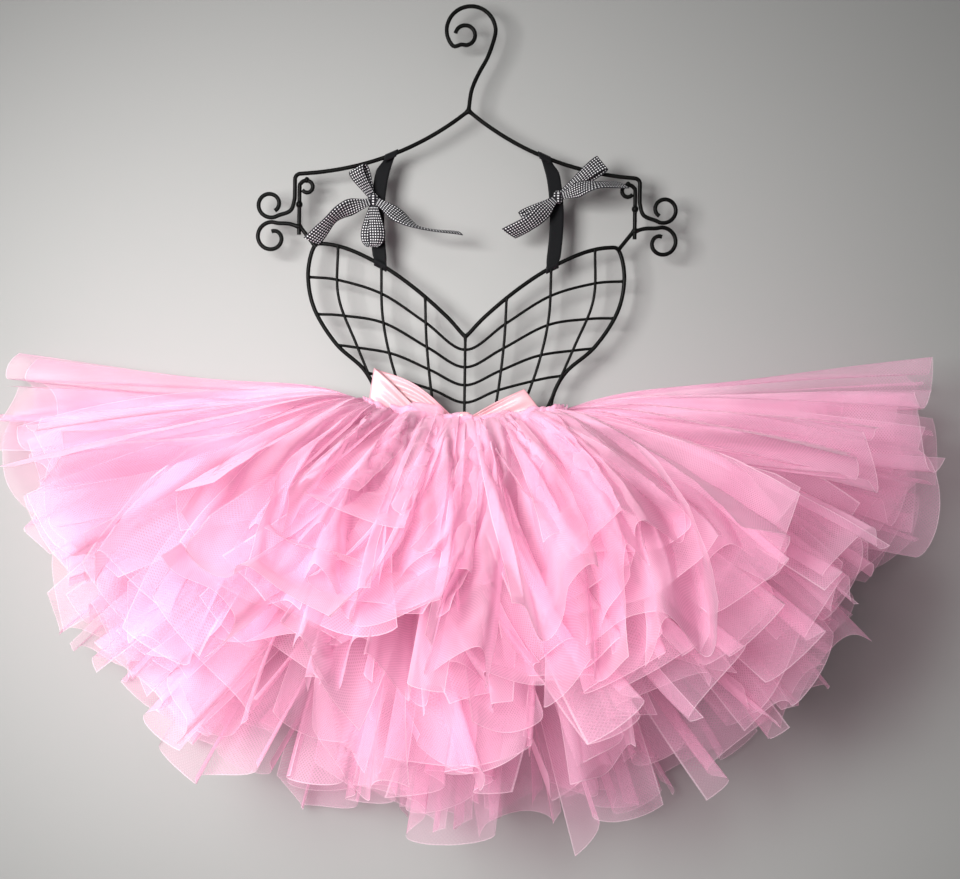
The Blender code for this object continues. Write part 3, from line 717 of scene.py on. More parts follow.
@dataclass(frozen=True)
class SatinFinish:
    """Pale pink satin ribbon with long bright highlights."""

    colour: Colour = (0.70, 0.37, 0.41)
    deep_colour: Colour = (0.55, 0.24, 0.29)
    width: float = 28.0
    pitch: float = 0.22
    edge_line: float = 0.8
    edge_share: float = 0.5

    def material(self, effects: Effects) -> Material:
        """The finish as a material.

        Args:
            effects: the shared node groups.

        Returns:
            The material.
        """
        material, nodes, shader = new_material("pink_satin_ribbon")
        cut = nodes.cut()
        varied = nodes.group(effects.variation, Vector=cut, Scale=90.0, Amount=0.35,
                             Colour=opaque(self.colour), Other_colour=opaque(self.deep_colour))
        edge = nodes.group(effects.edge, Cut=cut, Width=self.width, Length=OFF_THE_CUT, Line=self.edge_line)
        share = nodes.maths("MULTIPLY", edge["Mask"], self.edge_share)
        colour = nodes.mix(share, varied["Colour"], opaque(self.deep_colour))
        weave = nodes.group(effects.weave, Cut=cut, Pitch=self.pitch)
        nodes.weave_surface(shader, colour, weave["Height"], (0.30, 0.22), strength=0.12, depth=0.0001)
        set_shader(shader, Specular_IOR_Level=0.8, Anisotropic=0.5, Sheen_Weight=0.10, Sheen_Roughness=0.3,
                   Sheen_Tint=opaque((1.0, 0.85, 0.88)))
        return material


@dataclass(frozen=True)
class ElasticFinish:
    """Pink elastic with raised ribs across it, and painted shade in the grooves between them."""

    colour: Colour = (0.88, 0.33, 0.47)
    # painted shade: the darker colour laid in the grooves between the ribs
    painted_groove_shade: Colour = (0.60, 0.16, 0.28)
    rib: float = 1.4

    def material(self, effects: Effects) -> Material:
        """The finish as a material.

        Args:
            effects: the shared node groups.

        Returns:
            The material.
        """
        material, nodes, shader = new_material("pink_elastic_rib")
        cut = nodes.cut()
        weave = nodes.group(effects.weave, Cut=cut, Pitch=self.rib)
        # the grooves between the ribs take the painted shade colour, the rib tops the plain colour
        colour = nodes.mix(weave["Warp"], opaque(self.painted_groove_shade), opaque(self.colour))
        nodes.weave_surface(shader, colour, weave["Warp"], (0.85, 0.6), strength=0.6, depth=0.0004)
        return material


@dataclass(frozen=True)
class NetFinish:
    """Sheer pink net: open threads, a painted highlight along its cut edges, and denser wherever it is seen
    aslant.
    """

    colour: Colour = (0.98, 0.56, 0.745)
    pale_colour: Colour = (1.0, 0.69, 0.845)
    # painted highlight: the pale colour laid along each cut edge, standing in for the brightness of net seen
    # edge-on
    edge_colour: Colour = (1.0, 0.84, 0.92)
    shadow_colour: Colour = (0.82, 0.765, 0.785)  # what a layer lets through to shadows
    cover: float = 0.25  # how much of the view a single layer seen face on hides
    cover_spread: float = 0.10
    plain_cover: float = 2.1  # how many times more it hides from light that comes from other leaves
    gathered_cover: float = 2.1  # how many times denser it is near the root, where small creases crowd
    gathered_span: Pair = (-0.30, -0.10)  # metres from the cut end
    cell: float = 1.7
    crown_sheen_share: float = 0.17  # how much more of the view the threads hide, and the gaps less
    edge_cover: float = 0.19
    # how much of the painted edge highlight the edge line takes
    edge_share: float = 0.7
    edge_line: float = 1.0
    least_facing: float = 0.16  # a layer gets no denser when it is seen more aslant than this
    glow: float = 0.4  # how much of the light on one side comes out at the other
    width: float = 132.0
    length: float = 0.0  # the cut's end lies where the map is 0
    name: str = "pink_tulle_net"

    def material(self, effects: Effects) -> Material:
        """The finish as a material.

        Args:
            effects: the shared node groups.

        Returns:
            The material.
        """
        material, nodes, shader = new_material(self.name)
        cut = nodes.cut()
        seed = nodes.new("Attribute", attribute_name="shade").outputs["Fac"]
        varied = nodes.group(effects.variation, Vector=cut, Seed=seed, Scale=14.0, Amount=0.5,
                             Colour=opaque(self.colour), Other_colour=opaque(self.pale_colour))
        edge = nodes.group(effects.edge, Cut=cut, Width=self.width, Length=self.length, Line=self.edge_line)
        # the cut edges take the painted highlight colour
        share = nodes.maths("MULTIPLY", edge["Mask"], self.edge_share)
        colour = nodes.mix(share, varied["Colour"], opaque(self.edge_colour))
        nodes.feed(shader.inputs["Base Color"], colour)
        set_shader(shader, Roughness=0.65, Specular_IOR_Level=0.3, Sheen_Weight=0.3, Sheen_Roughness=0.35,
                   Sheen_Tint=opaque((1.0, 0.86, 0.92)))
        net = nodes.group(effects.net, Cut=cut, Cell=self.cell)
        cover = self.face_on_cover(nodes, cut, varied["Mask"], net["Thread"], edge["Mask"])
        aslant = nodes.new("LayerWeight")
        aslant.inputs["Blend"].default_value = 0.5
        facing = nodes.maths("SUBTRACT", 1.0, aslant.outputs["Facing"])
        facing = nodes.maths("MAXIMUM", facing, self.least_facing)
        gaps = nodes.maths("POWER", nodes.maths("SUBTRACT", 1.0, cover), nodes.maths("DIVIDE", 1.0, facing))
        through = nodes.new("BsdfTranslucent")
        nodes.feed(through.inputs["Color"], colour)
        threads = nodes.blend(self.glow, shader, through)
        seen = nodes.blend(gaps, threads, nodes.new("BsdfTransparent"))
        shade = nodes.new("BsdfTransparent")
        shade.inputs["Color"].default_value = opaque(self.shadow_colour)
        rays = nodes.new("LightPath").outputs
        seen = nodes.blend(rays["Is Diffuse Ray"], seen, self.plain_layer(nodes))
        nodes.show(nodes.blend(rays["Is Shadow Ray"], seen, shade))
        return material

    def face_on_cover(self, nodes: Nodes, cut: Socket, mask: Socket, thread: Socket, edge: Socket) -> Socket:
        """How much of the view a layer seen face on hides, at each place.

        Args:
            nodes: the material's nodes.
            cut: the place on the flat cut.
            mask: slow variation.
            thread: where the net's threads run.
            edge: the line along the cut edges.

        Returns:
            The cover, between 0 and 1.
        """
        half = self.cover_spread / 2
        varied = nodes.ramp(mask, 0.0, 1.0, self.cover - half, self.cover + half)
        threads = nodes.ramp(thread, 0.0, 1.0, 1.0 - self.crown_sheen_share, 1.0 + self.crown_sheen_share)
        gathered = nodes.ramp(nodes.across_and_along(cut)[1], *self.gathered_span, self.gathered_cover, 1.0)
        cover = nodes.maths("MULTIPLY", nodes.maths("MULTIPLY", varied, threads), gathered)
        return nodes.maths("ADD", cover, nodes.maths("MULTIPLY", edge, self.edge_cover), clamp=True)

    def plain_layer(self, nodes: Nodes) -> Node:
        """A layer as light between the leaves meets it: its cover and glow alone.

        Args:
            nodes: the material's nodes.

        Returns:
            The shader.
        """
        lit, through = nodes.new("BsdfDiffuse"), nodes.new("BsdfTranslucent")
        for node in (lit, through):
            node.inputs["Color"].default_value = opaque(self.colour)
        threads = nodes.blend(self.glow, lit, through)
        return nodes.blend(1.0 - self.plain_cover * self.cover, threads, nodes.new("BsdfTransparent"))


@dataclass
class Finishes:
    """Every finish of the object as a material, made once."""

    effects: Effects = field(default_factory=Effects)

    def __post_init__(self) -> None:
        """Makes the materials."""
        self.enamel = EnamelFinish().material(self.effects)
        self.webbing = WebbingFinish().material(self.effects)
        self.gingham = GinghamFinish().material(self.effects)
        self.satin = SatinFinish().material(self.effects)
        self.elastic = ElasticFinish().material(self.effects)
        self.net = NetFinish().material(self.effects)
        self.knot_net = NetFinish(cover=0.62, cover_spread=0.2, name="pink_tulle_knot").material(self.effects)


# ======================== hanger
@dataclass
class WireHanger:
    """The bust-shaped hanger: rods bent, scrolled and welded, with a grid of thinner wires."""

    rod_radius: float = 1.8
    wire_radius: float = 1.25
    wire_depth: float = 1.15
    hook_centre: Pair = (1.0, -19.7)
    hook_radii: Pair = (19.9, 21.5)
    hook_turn: Pair = (222.0, -24.0)
    hook_opening: float = 0.4  # below 1, the crown's radius changes mostly near its start
    coil_centre: Pair = (-3.8, -23.6)
    coil_radius: float = 8.6
    coil_turn: Pair = (168.0, -112.0)
    shank: tuple = ((15.5, -43.0), (8.0, -57.0), (2.4, -71.0), (0.0, -88.5))
    shoulder: tuple = ((0.0, -88.6), (62.0, -139.0), (143.6, -144.6))
    shoulder_bend: float = 4.7
    shoulder_bend_turn: Pair = (72.0, 0.0)
    outer_rod_x: float = 148.3
    outer_rod_drop: tuple = ((148.3, -159.0), (148.7, -167.5), (152.0, -176.5))
    upper_scroll: Pair = (169.3, -171.2)
    upper_scroll_turn: Pair = (-128.0, 235.0)
    upper_scroll_radii: Pair = (11.9, 6.8)
    lower_scroll: Pair = (167.5, -199.4)
    lower_scroll_turn: Pair = (112.0, -275.0)
    lower_scroll_radii: Pair = (13.0, 4.8)
    lower_scroll_closing: float = 1.8
    lower_scroll_lead: tuple = ((144.3, -190.3), (153.0, -187.8))
    eye_centre: Pair = (138.2, -156.0)
    eye_radii: Pair = (4.5, 6.1)
    eye_turn: Pair = (325.0, 0.0)
    end_rod: tuple = ((144.3, -156.0), (144.3, -176.0), (144.3, -197.0))
    brace: tuple = ((144.3, -189.0), (129.6, -207.6))
    waist_wire: tuple = ((-76.0, -354.5), (76.0, -354.5))
    bust: tuple = ((0.0, -282.6), (3.5, -279.5), (17.0, -265.0), (42.5, -243.0), (70.0, -224.0),
                   (100.0, -209.5), (122.0, -204.6), (131.5, -208.0), (136.0, -232.0), (130.0, -261.0),
                   (111.0, -290.5), (87.0, -312.0), (75.6, -334.0), (73.6, -357.0))
    centre_wire: tuple = ((0.0, -282.0), (0.0, -354.5))
    uprights: dict = field(default_factory=lambda: {
        "inner": ((35.0, -249.5), (33.5, -285.0), (30.0, -320.0), (25.0, -354.5)),
        "middle": ((73.0, -222.5), (71.5, -265.0), (63.0, -306.0), (46.0, -354.5)),
        "outer": ((110.5, -206.5), (109.5, -250.0), (93.0, -292.0), (66.0, -354.5)),
    })
    crosses: tuple = (
        ((0.0, -294.0), (34.5, -271.0), (72.0, -247.0), (110.0, -235.5), (135.8, -233.2)),
        ((0.0, -309.0), (31.5, -293.0), (70.0, -272.0), (106.0, -266.0), (128.0, -265.1)),
        ((0.0, -324.5), (29.5, -312.0), (62.0, -298.5), (96.0, -293.0), (110.6, -291.4)),
        ((0.0, -339.5), (27.0, -329.0), (55.0, -321.0), (72.0, -317.0), (83.6, -315.3)),
    )
    bead_places: tuple = ((144.4, -171.0, 2.9), (138.2, -149.9, 2.3), (144.6, -190.0, 2.4))  # x, z, radius
    bead_height: float = 1.15
    bead_bumps: float = 0.07
    scroll_steps: int = 16
    straight_spacing: float = 6.0
    wire_spacing: float = 3.0
    welds: dict = field(default_factory=lambda: {  # how much thicker each part is at its start and end
        "hook": (1.0, 1.25), "shoulder": (1.35, 1.0), "end_rod": (1.0, 1.0), "scroll": (1.35, 1.0),
        "brace": (1.3, 1.3), "bust_rod": (1.15, 1.0), "wire": (1.35, 1.35),
    })

    def hook_route(self) -> Route:
        """From the inner end of the coil, round the coil and the crown, and down the shank.

        Returns:
            The route.
        """
        coil = arc(self.coil_centre, self.coil_turn, (self.coil_radius, self.coil_radius), 9)
        crown = arc(self.hook_centre, self.hook_turn, self.hook_radii, 9, self.hook_opening)
        return smooth_route(np.vstack([coil, crown, in_plane(self.shank)]), 8)

    def shoulder_route(self) -> Route:
        """From under the hook, out along the shoulder, down the end bend and round the upper scroll.

        Returns:
            The route.
        """
        slope = bezier(*in_plane(self.shoulder), np.linspace(0.0, 1.0, 11)[:, None])
        corner = (self.outer_rod_x - self.shoulder_bend, self.shoulder[2][1] - self.shoulder_bend)
        bend = arc(corner, self.shoulder_bend_turn, (self.shoulder_bend, self.shoulder_bend), 3)
        scroll = arc(self.upper_scroll, self.upper_scroll_turn, self.upper_scroll_radii, self.scroll_steps)
        return smooth_route(np.vstack([slope, bend, in_plane(self.outer_rod_drop), scroll]), 6)

    def end_rod_route(self) -> Route:
        """From the eye under the shoulder straight down."""
        eye = arc(self.eye_centre, self.eye_turn, self.eye_radii, 12)
        return smooth_route(np.vstack([eye[:-1], in_plane(self.end_rod)]), 6)

    def lower_scroll_route(self) -> Route:
        """From the end rod, out and round the lower scroll.

        Returns:
            The route.
        """
        scroll = arc(self.lower_scroll, self.lower_scroll_turn, self.lower_scroll_radii, self.scroll_steps,
                     self.lower_scroll_closing)
        return smooth_route(np.vstack([in_plane(self.lower_scroll_lead), scroll]), 6)

    def rods(self, enamel: Material) -> None:
        """Hook, shoulders, end rods, scrolls, braces and bust rods.

        Args:
            enamel: their finish.
        """
        add_rod("wire_hook", self.hook_route(), self.rod_radius, enamel, ["hook"], self.welds["hook"])
        routes = {
            "shoulder": self.shoulder_route(),
            "end_rod": self.end_rod_route(),
            "scroll": self.lower_scroll_route(),
            "brace": in_plane(self.brace),
            "bust_rod": smooth_route(in_plane(self.bust), 10),
        }
        for side in Side:
            for part, route in routes.items():
                node = "%s_%s" % (part, side.label)
                add_rod("wire_" + node, on_side(route, side), self.rod_radius, enamel, [node],
                        self.welds[part])

    def grid_wires(self, enamel: Material) -> None:
        """Uprights in front of the rods' plane, cross wires behind it, and the waist wire.

        Args:
            enamel: their finish.
        """
        welded = self.welds["wire"]
        add_rod("wire_waist", in_plane(self.waist_wire), self.wire_radius, enamel, ["waist_wire"], welded,
                self.straight_spacing)
        add_rod("wire_upright_centre", in_plane(self.centre_wire, -self.wire_depth), self.wire_radius, enamel,
                ["upright_centre"], welded, self.straight_spacing)
        for name, places in self.uprights.items():
            for side in Side:
                node = "upright_%s_%s" % (name, side.label)
                route = on_side(smooth_route(in_plane(places, -self.wire_depth)), side)
                add_rod("wire_" + node, route, self.wire_radius, enamel, [node], welded, self.wire_spacing)
        for number, places in enumerate(self.crosses, start=1):
            right = in_plane(places, self.wire_depth)
            route = smooth_route(np.vstack([on_side(right, Side.LEFT)[:0:-1], right]))
            add_rod("wire_cross_%d" % number, route, self.wire_radius, enamel, ["cross_wire_%d" % number],
                    welded, self.wire_spacing)

    def weld_beads(self, enamel: Material) -> None:
        """Small lumps of weld where the end rods meet the shoulder and the scroll, and a knuckle between.

        Args:
            enamel: their finish.
        """
        rise, turn = round_angles(11, 17)
        patches = []
        for side in Side:
            for x, z, radius in self.bead_places:
                size = radius * (1.0 + self.bead_bumps * np.sin(3.0 * turn + x) * np.cos(rise))
                lump = lump_grid((1.0, 1.0, self.bead_height * size), size * np.cos(rise), rise, turn)
                patches.append(ribbon_patch(lump + np.array((side.value * x, 0.0, z)), 1.0))
        add_cloth("weld_beads", patches, enamel, [])

    def build(self, finishes: Finishes) -> None:
        """Builds and dresses the hanger.

        Args:
            finishes: the materials.
        """
        self.rods(finishes.enamel)
        self.grid_wires(finishes.enamel)
        self.weld_beads(finishes.enamel)


# ======================== straps and gingham bows
@dataclass
class Straps:
    """Flat straps that wrap over the shoulder rods and end round the bust rods."""

    width: float = 12.0
    thickness: float = 1.1
    top_slope: float = -24.0  # how the rods run where the strap passes over them
    top_from: float = -142.0  # the height from which a strap takes the rod's slope, fully after its reach
    top_reach: float = 12.0
    foot_slope: float = 27.0
    foot_from: float = -211.0
    foot_reach: float = 10.0
    spacing: float = 1.6
    route: tuple = ((67.0, -2.6, -131.5), (66.2, -2.7, -128.5), (65.6, 0.0, -125.1), (66.6, 2.7, -127.5),
                    (73.5, 2.7, -143.0), (77.0, 2.7, -170.0), (76.8, 2.7, -195.0), (74.4, 2.7, -219.0),
                    (74.0, 2.4, -223.0), (74.0, 0.0, -225.0), (73.8, -2.6, -222.5), (73.8, -2.8, -219.5))

    def build(self, finishes: Finishes) -> None:
        """Builds and dresses both straps.

        Args:
            finishes: the materials.
        """
        for side in Side:
            route = on_side(resampled(smooth_route(np.array(self.route), 10), self.spacing), side)
            z = route[:, 2]
            slope = self.top_slope * smoothstep((z - self.top_from) / self.top_reach)
            slope = slope + self.foot_slope * smoothstep((self.foot_from - z) / self.foot_reach)
            slope = np.radians(slope) * side.value
            level = np.stack([np.cos(slope), np.zeros_like(z), np.sin(slope)], axis=1)
            grid = ribbon_grid(route, np.full_like(z, self.width / 2), np.zeros_like(z), level=level)
            strap = add_cloth("strap_webbing_" + side.label, [ribbon_patch(grid, self.width)],
                              finishes.webbing, ["strap_" + side.label], self.thickness)


@dataclass(frozen=True)
class LoopShape:
    """One loop of a gingham bow, from its knot."""

    name: str
    direction: float  # degrees in the plane of the rods
    reach: float
    bulge: float  # half the depth of its opening
    forward: float  # how far its tip stands forward
    roll: float
    fan: float  # how far its back layer lies aside of the front one
    width_share: float = 1.0
    tip_pinch: float = 0.0  # how much narrower it looks at its tip


@dataclass(frozen=True)
class TailShape:
    """One tail of a gingham bow: where it ends, and how it bows and rolls on the way."""

    name: str
    end: Pair
    sag: float
    forward: float
    roll: float
    turned_back: float = 0.0  # how much of the roll is lost again towards the end


@dataclass(frozen=True)
class BowShape:
    """A gingham bow: its knot's place, its loops and its tails."""

    side: Side
    knot: Pair
    loops: tuple[LoopShape, ...]
    tails: tuple[TailShape, ...]


@dataclass
class GinghamBows:
    """A soft bow of narrow ribbon on each strap."""

    width: float = 15.0
    thickness: float = 0.5
    knot_y: float = -2.2
    knot_size: Triple = (8.0, 8.0, 11.0)
    pinched: float = 0.42  # a ribbon's width where the knot pinches it
    crumple: float = 0.7
    columns: int = 8
    loop_rows: int = 61
    loop_root: float = 3.0  # how far from the knot's middle a ribbon starts
    loop_fullness: float = 0.8  # below 1, a loop keeps its form nearer to its tip
    root_gape: float = 0.25  # share of its opening that a loop has at its root
    loop_cup: float = 0.16
    tail_start: float = 3.4  # how far in front of the knot's middle a tail starts
    tail_fall: float = 0.5  # share of its forward bow that a tail's end keeps
    tail_turn: float = 0.55  # where along a tail its roll starts to turn back
    tail_slant: float = 2.5  # how far the cut of its end slants
    tail_spacing: float = 1.5
    tail_cup: float = 0.14
    knot_fullness: float = 0.55
    knot_fold: float = 0.10
    bows: tuple[BowShape, ...] = (
        BowShape(Side.LEFT, (-80.5, -166.5),
                 (LoopShape("loop_up", 118.0, 30.0, 4.5, 8.0, 14.0, 4.5, 1.05),
                  LoopShape("loop_down", 270.0, 40.5, 6.0, 2.0, 6.0, 7.5, 1.32, 0.45)),
                 (TailShape("tail_out", (-52.0, -37.0), 7.0, 8.0, 62.0, 0.5),
                  TailShape("tail_in", (74.0, -27.0), -9.0, 9.0, 82.0, 0.1))),
        BowShape(Side.RIGHT, (78.0, -162.0),
                 (LoopShape("loop_up", 38.0, 47.0, 4.5, 9.0, 14.0, 3.0),
                  LoopShape("loop_down", 215.0, 36.0, 4.5, 2.0, 12.0, 4.0)),
                 (TailShape("tail_out", (55.0, 11.0), 3.0, 17.0, 60.0),
                  TailShape("tail_in", (-42.0, -33.0), -5.0, 9.0, 38.0))),
    )

    def knot_centre(self, bow: BowShape) -> Array:
        """The middle of a bow's knot."""
        return np.array((bow.knot[0], self.knot_y, bow.knot[1]))

    def width_at(self, share: Array) -> Array:
        """Half the ribbon's width, from pinched at 0 to full at 1."""
        return self.width / 2 * (self.pinched + (1.0 - self.pinched) * share)

    def loop(self, bow: BowShape, shape: LoopShape) -> Patch:
        """The ribbon of one loop: out in front, round the tip, and back behind.

        Args:
            bow: the bow that it belongs to.
            shape: its shape.

        Returns:
            The ribbon.
        """
        turn = np.linspace(0.0, math.pi, self.loop_rows)
        swell = np.sin(turn)
        aim = math.radians(shape.direction)
        along = np.array((math.cos(aim), 0.0, math.sin(aim)))
        centre = self.knot_centre(bow)
        start = centre + along * self.loop_root
        tip = centre + along * shape.reach + FRONT * shape.forward
        share = swell ** self.loop_fullness
        share[-1] = 0.0
        level = unit(np.cross(along, FRONT))
        gape = shape.bulge * np.cos(turn) * (self.root_gape + (1.0 - self.root_gape) * swell)
        aside = -shape.fan * np.cos(turn) * swell
        route = start + (tip - start) * share[:, None] + FRONT * gape[:, None] + level * aside[:, None]
        middle = np.sin(np.pi * np.clip(share, 0.0, 1.0)) ** self.loop_fullness
        widths = self.width_at(swell) * (1.0 + (shape.width_share - 1.0) * middle)
        widths = widths * (1.0 - shape.tip_pinch * share ** 5)
        grid = ribbon_grid(route, widths, shape.roll * swell, self.columns, level=level, cup=self.loop_cup)
        return ribbon_patch(self.crumpled(grid, shape.reach), self.width)

    def tail(self, bow: BowShape, shape: TailShape) -> Patch:
        """The ribbon of one tail, with its end cut on the slant.

        Args:
            bow: the bow that it belongs to.
            shape: its shape.

        Returns:
            The ribbon.
        """
        centre = self.knot_centre(bow)
        end = np.array((shape.end[0], 0.0, shape.end[1]))
        start = centre + unit(end) * self.loop_root + FRONT * self.tail_start
        middle = (start + centre + end) / 2 + np.array((0.0, 0.0, shape.sag)) + FRONT * shape.forward
        finish = centre + end + FRONT * shape.forward * self.tail_fall
        route = resampled(smooth_route(np.stack([start, middle, finish]), 24), self.tail_spacing)
        share = np.linspace(0.0, 1.0, len(route))
        widths = self.width_at(smoothstep(share * 3.0))
        turned_back = shape.turned_back * smoothstep((share - self.tail_turn) / (1.0 - self.tail_turn))
        rolls = shape.roll * smoothstep(share * 1.5) * (1.0 - turned_back)
        grid = ribbon_grid(route, widths, rolls, self.columns, cup=self.tail_cup)
        slant = np.linspace(-1.0, 1.0, self.columns + 1)[None, :, None] * (share[:, None, None] ** 6)
        grid = grid + tangents(route)[:, None] * slant * self.tail_slant
        return ribbon_patch(self.crumpled(grid, shape.end[0]), self.width)

    def crumpled(self, grid: Grid, seed: float) -> Grid:
        """The grid with small soft dents that run along and across the ribbon.

        Args:
            grid: the smooth ribbon.
            seed: shifts the dents.

        Returns:
            The new grid.
        """
        along = np.linspace(0.0, 1.0, grid.shape[0])[:, None]
        across = np.linspace(-1.0, 1.0, grid.shape[1])[None, :]
        broad = np.sin(9.0 * along + seed) * np.cos(2.1 * across + seed)
        small = 0.6 * np.sin(17.0 * along * across + seed)
        fade = np.sin(np.pi * np.clip(along * 1.2, 0.0, 1.0)) ** 0.5
        return grid + FRONT * (self.crumple * (broad + small) * fade)[..., None]

    def knot(self, bow: BowShape) -> Patch:
        """The knot: a turn of ribbon pulled tight, with two soft folds.

        Args:
            bow: the bow that it belongs to.

        Returns:
            The knot's surface.
        """
        rise, turn = round_angles(15, 33)
        folds = 1.0 + self.knot_fold * np.sin(4.0 * rise + 0.8 * np.sin(turn))
        grid = lump_grid(np.array(self.knot_size) / 2, np.cos(rise) ** self.knot_fullness * folds, rise, turn)
        return ribbon_patch(grid + self.knot_centre(bow), self.width)

    def build(self, finishes: Finishes) -> None:
        """Builds and dresses both bows.

        Args:
            finishes: the materials.
        """
        for bow in self.bows:
            label = bow.side.label
            knot = add_cloth("gingham_knot_" + label, [self.knot(bow)], finishes.gingham,
                             ["bow_knot_" + label])
            shapes = [(shape.name, self.loop(bow, shape), Hold.FOLDED) for shape in bow.loops]
            shapes += [(shape.name, self.tail(bow, shape), Hold.HUNG) for shape in bow.tails]
            for name, patch, hold in shapes:
                piece = add_cloth("gingham_%s_%s" % (name, label), [patch], finishes.gingham,
                                  ["bow_%s_%s" % (name, label)], self.thickness)


# ======================== satin bow and waistband
def waist_dip(x: Array) -> Array:
    """How far the waist line hangs down at a place across it, from nothing at its ends."""
    return WAIST_DIP * (1.0 - np.clip(np.abs(x) / WAIST_HALF_WIDTH, 0.0, 1.0) ** 2)


@dataclass(frozen=True)
class SatinLoopShape:
    """One loop of the satin bow: where it leaves the knot, comes back to it, and how its tip stands."""

    side: Side
    start: Pair
    finish: Pair
    tip: Pair
    tip_half: float
    tip_lean: float  # degrees that the tip's edge leans outward at its foot
    narrowing: float  # how soon the ribbon draws in from its tip
    back_arch: float  # how far the back layer rises over the front one
    gape: float  # how far its two layers stand apart


@dataclass
class SatinBow:
    """A flat bow of satin ribbon at the waist. Its loops rise behind the gathers of the front leaves."""

    width: float = 28.0
    thickness: float = 0.6
    y: float = -9.9
    rows: int = 49
    columns: int = 18
    root_half: float = 6.5  # half of its width where the knot gathers it
    root_gape: float = 0.35  # share of its opening that a loop has at its root
    gather: float = 1.5
    gathers: float = 9.0
    cup: float = 0.9
    knot_size: Triple = (13.0, 3.4, 15.0)
    knot_folds: int = 6
    knot_fold: float = 0.08
    knot_centre: Triple = (0.0, -9.3, -355.0)
    loops: tuple[SatinLoopShape, ...] = (
        SatinLoopShape(Side.LEFT, (-20.0, -372.0), (-12.0, -358.0), (-79.5, -326.0),
                       15.0, -8.0, 1.5, 9.0, 4.2),
        SatinLoopShape(Side.RIGHT, (7.0, -360.0), (7.0, -358.0), (60.5, -339.5),
                       15.5, 38.0, 1.1, 1.5, 2.8),
    )

    def loop(self, shape: SatinLoopShape) -> Patch:
        """The ribbon of one loop: out in front, round the tip, and back behind.

        Args:
            shape: its shape.

        Returns:
            The ribbon.
        """
        turn = np.linspace(0.0, math.pi, self.rows)
        start, finish, tip = in_plane((shape.start, shape.finish, shape.tip), self.y)
        share = np.sin(turn) ** 0.5
        share[-1] = 0.0
        returning = smoothstep(turn / math.pi)[:, None]
        foot = start * (1.0 - returning) + finish * returning
        lean = math.radians(shape.tip_lean)
        straight = unit(np.cross(tip - foot, FRONT)) * shape.side.value * -1.0
        leaning = np.array((-math.sin(lean), 0.0, math.cos(lean)))
        level = unit(straight * (1.0 - share[:, None]) + leaning * share[:, None])
        opening = np.sign(np.cos(turn)) * np.abs(np.cos(turn)) ** 0.5
        gape = shape.gape * opening * (self.root_gape + (1.0 - self.root_gape) * share)
        route = foot + (tip - foot) * share[:, None] + FRONT * gape[:, None]
        route[:, 2] += shape.back_arch * np.sin(np.pi * share) * returning[:, 0]
        halves = self.root_half + (shape.tip_half - self.root_half) * share ** shape.narrowing
        place = np.linspace(-1.0, 1.0, self.columns + 1)[None, :]
        grid = route[:, None] + level[:, None] * place[..., None] * halves[:, None, None]
        back = np.cos(place * self.gathers) * (1.0 - share[:, None]) * self.gather
        back = back + self.cup * place ** 2 * share[:, None]
        return ribbon_patch(grid - FRONT * back[..., None], self.width)

    def build(self, finishes: Finishes) -> None:
        """Builds and dresses the bow.

        Args:
            finishes: the materials.
        """
        rise, turn = round_angles(13, 29)
        girth = np.cos(rise) ** 0.5 * (1.0 + self.knot_fold * np.sin(self.knot_folds * turn))
        grid = lump_grid(np.array(self.knot_size) / 2, girth, rise, turn)
        knot = add_cloth("satin_bow_knot", [ribbon_patch(grid + np.array(self.knot_centre), self.width)],
                         finishes.satin, ["satin_knot"])
        for shape in self.loops:
            patch = self.loop(shape)
            label = shape.side.label
            piece = add_cloth("satin_bow_loop_" + label, [patch], finishes.satin,
                              ["satin_loop_" + label], self.thickness)


@dataclass
class Waistband:
    """The elastic ring that the leaves are knotted round."""

    top_z: float = -340.5
    bottom_z: float = -354.4
    half_width: float = 78.3
    half_depth: float = 6.5
    squareness: float = 0.5
    thickness: float = 1.5
    steps: int = 180
    rows: int = 6
    ripple: float = 0.35
    ripples: int = 23

    def build(self, finishes: Finishes) -> None:
        """Builds and dresses the band, slightly waved where the knots pull it.

        Args:
            finishes: the materials.
        """
        turn = np.linspace(0.0, math.tau, self.steps + 1)[:, None]
        x = self.half_width * np.sign(np.cos(turn)) * np.abs(np.cos(turn)) ** self.squareness
        y = self.half_depth * np.sign(np.sin(turn)) * np.abs(np.sin(turn)) ** self.squareness
        height = self.top_z - self.bottom_z
        fall = height * np.linspace(0.0, 1.0, self.rows + 1)[None, :]
        z = self.top_z - fall + self.ripple * np.sin(turn * self.ripples) - waist_dip(x)
        grid = np.stack(np.broadcast_arrays(x, y, z), axis=-1)
        patch = ribbon_patch(grid, height)
        patch.across, patch.along = patch.along, patch.across
        band = add_cloth("waist_elastic", [patch], finishes.elastic, ["waistband"],
                         self.thickness)


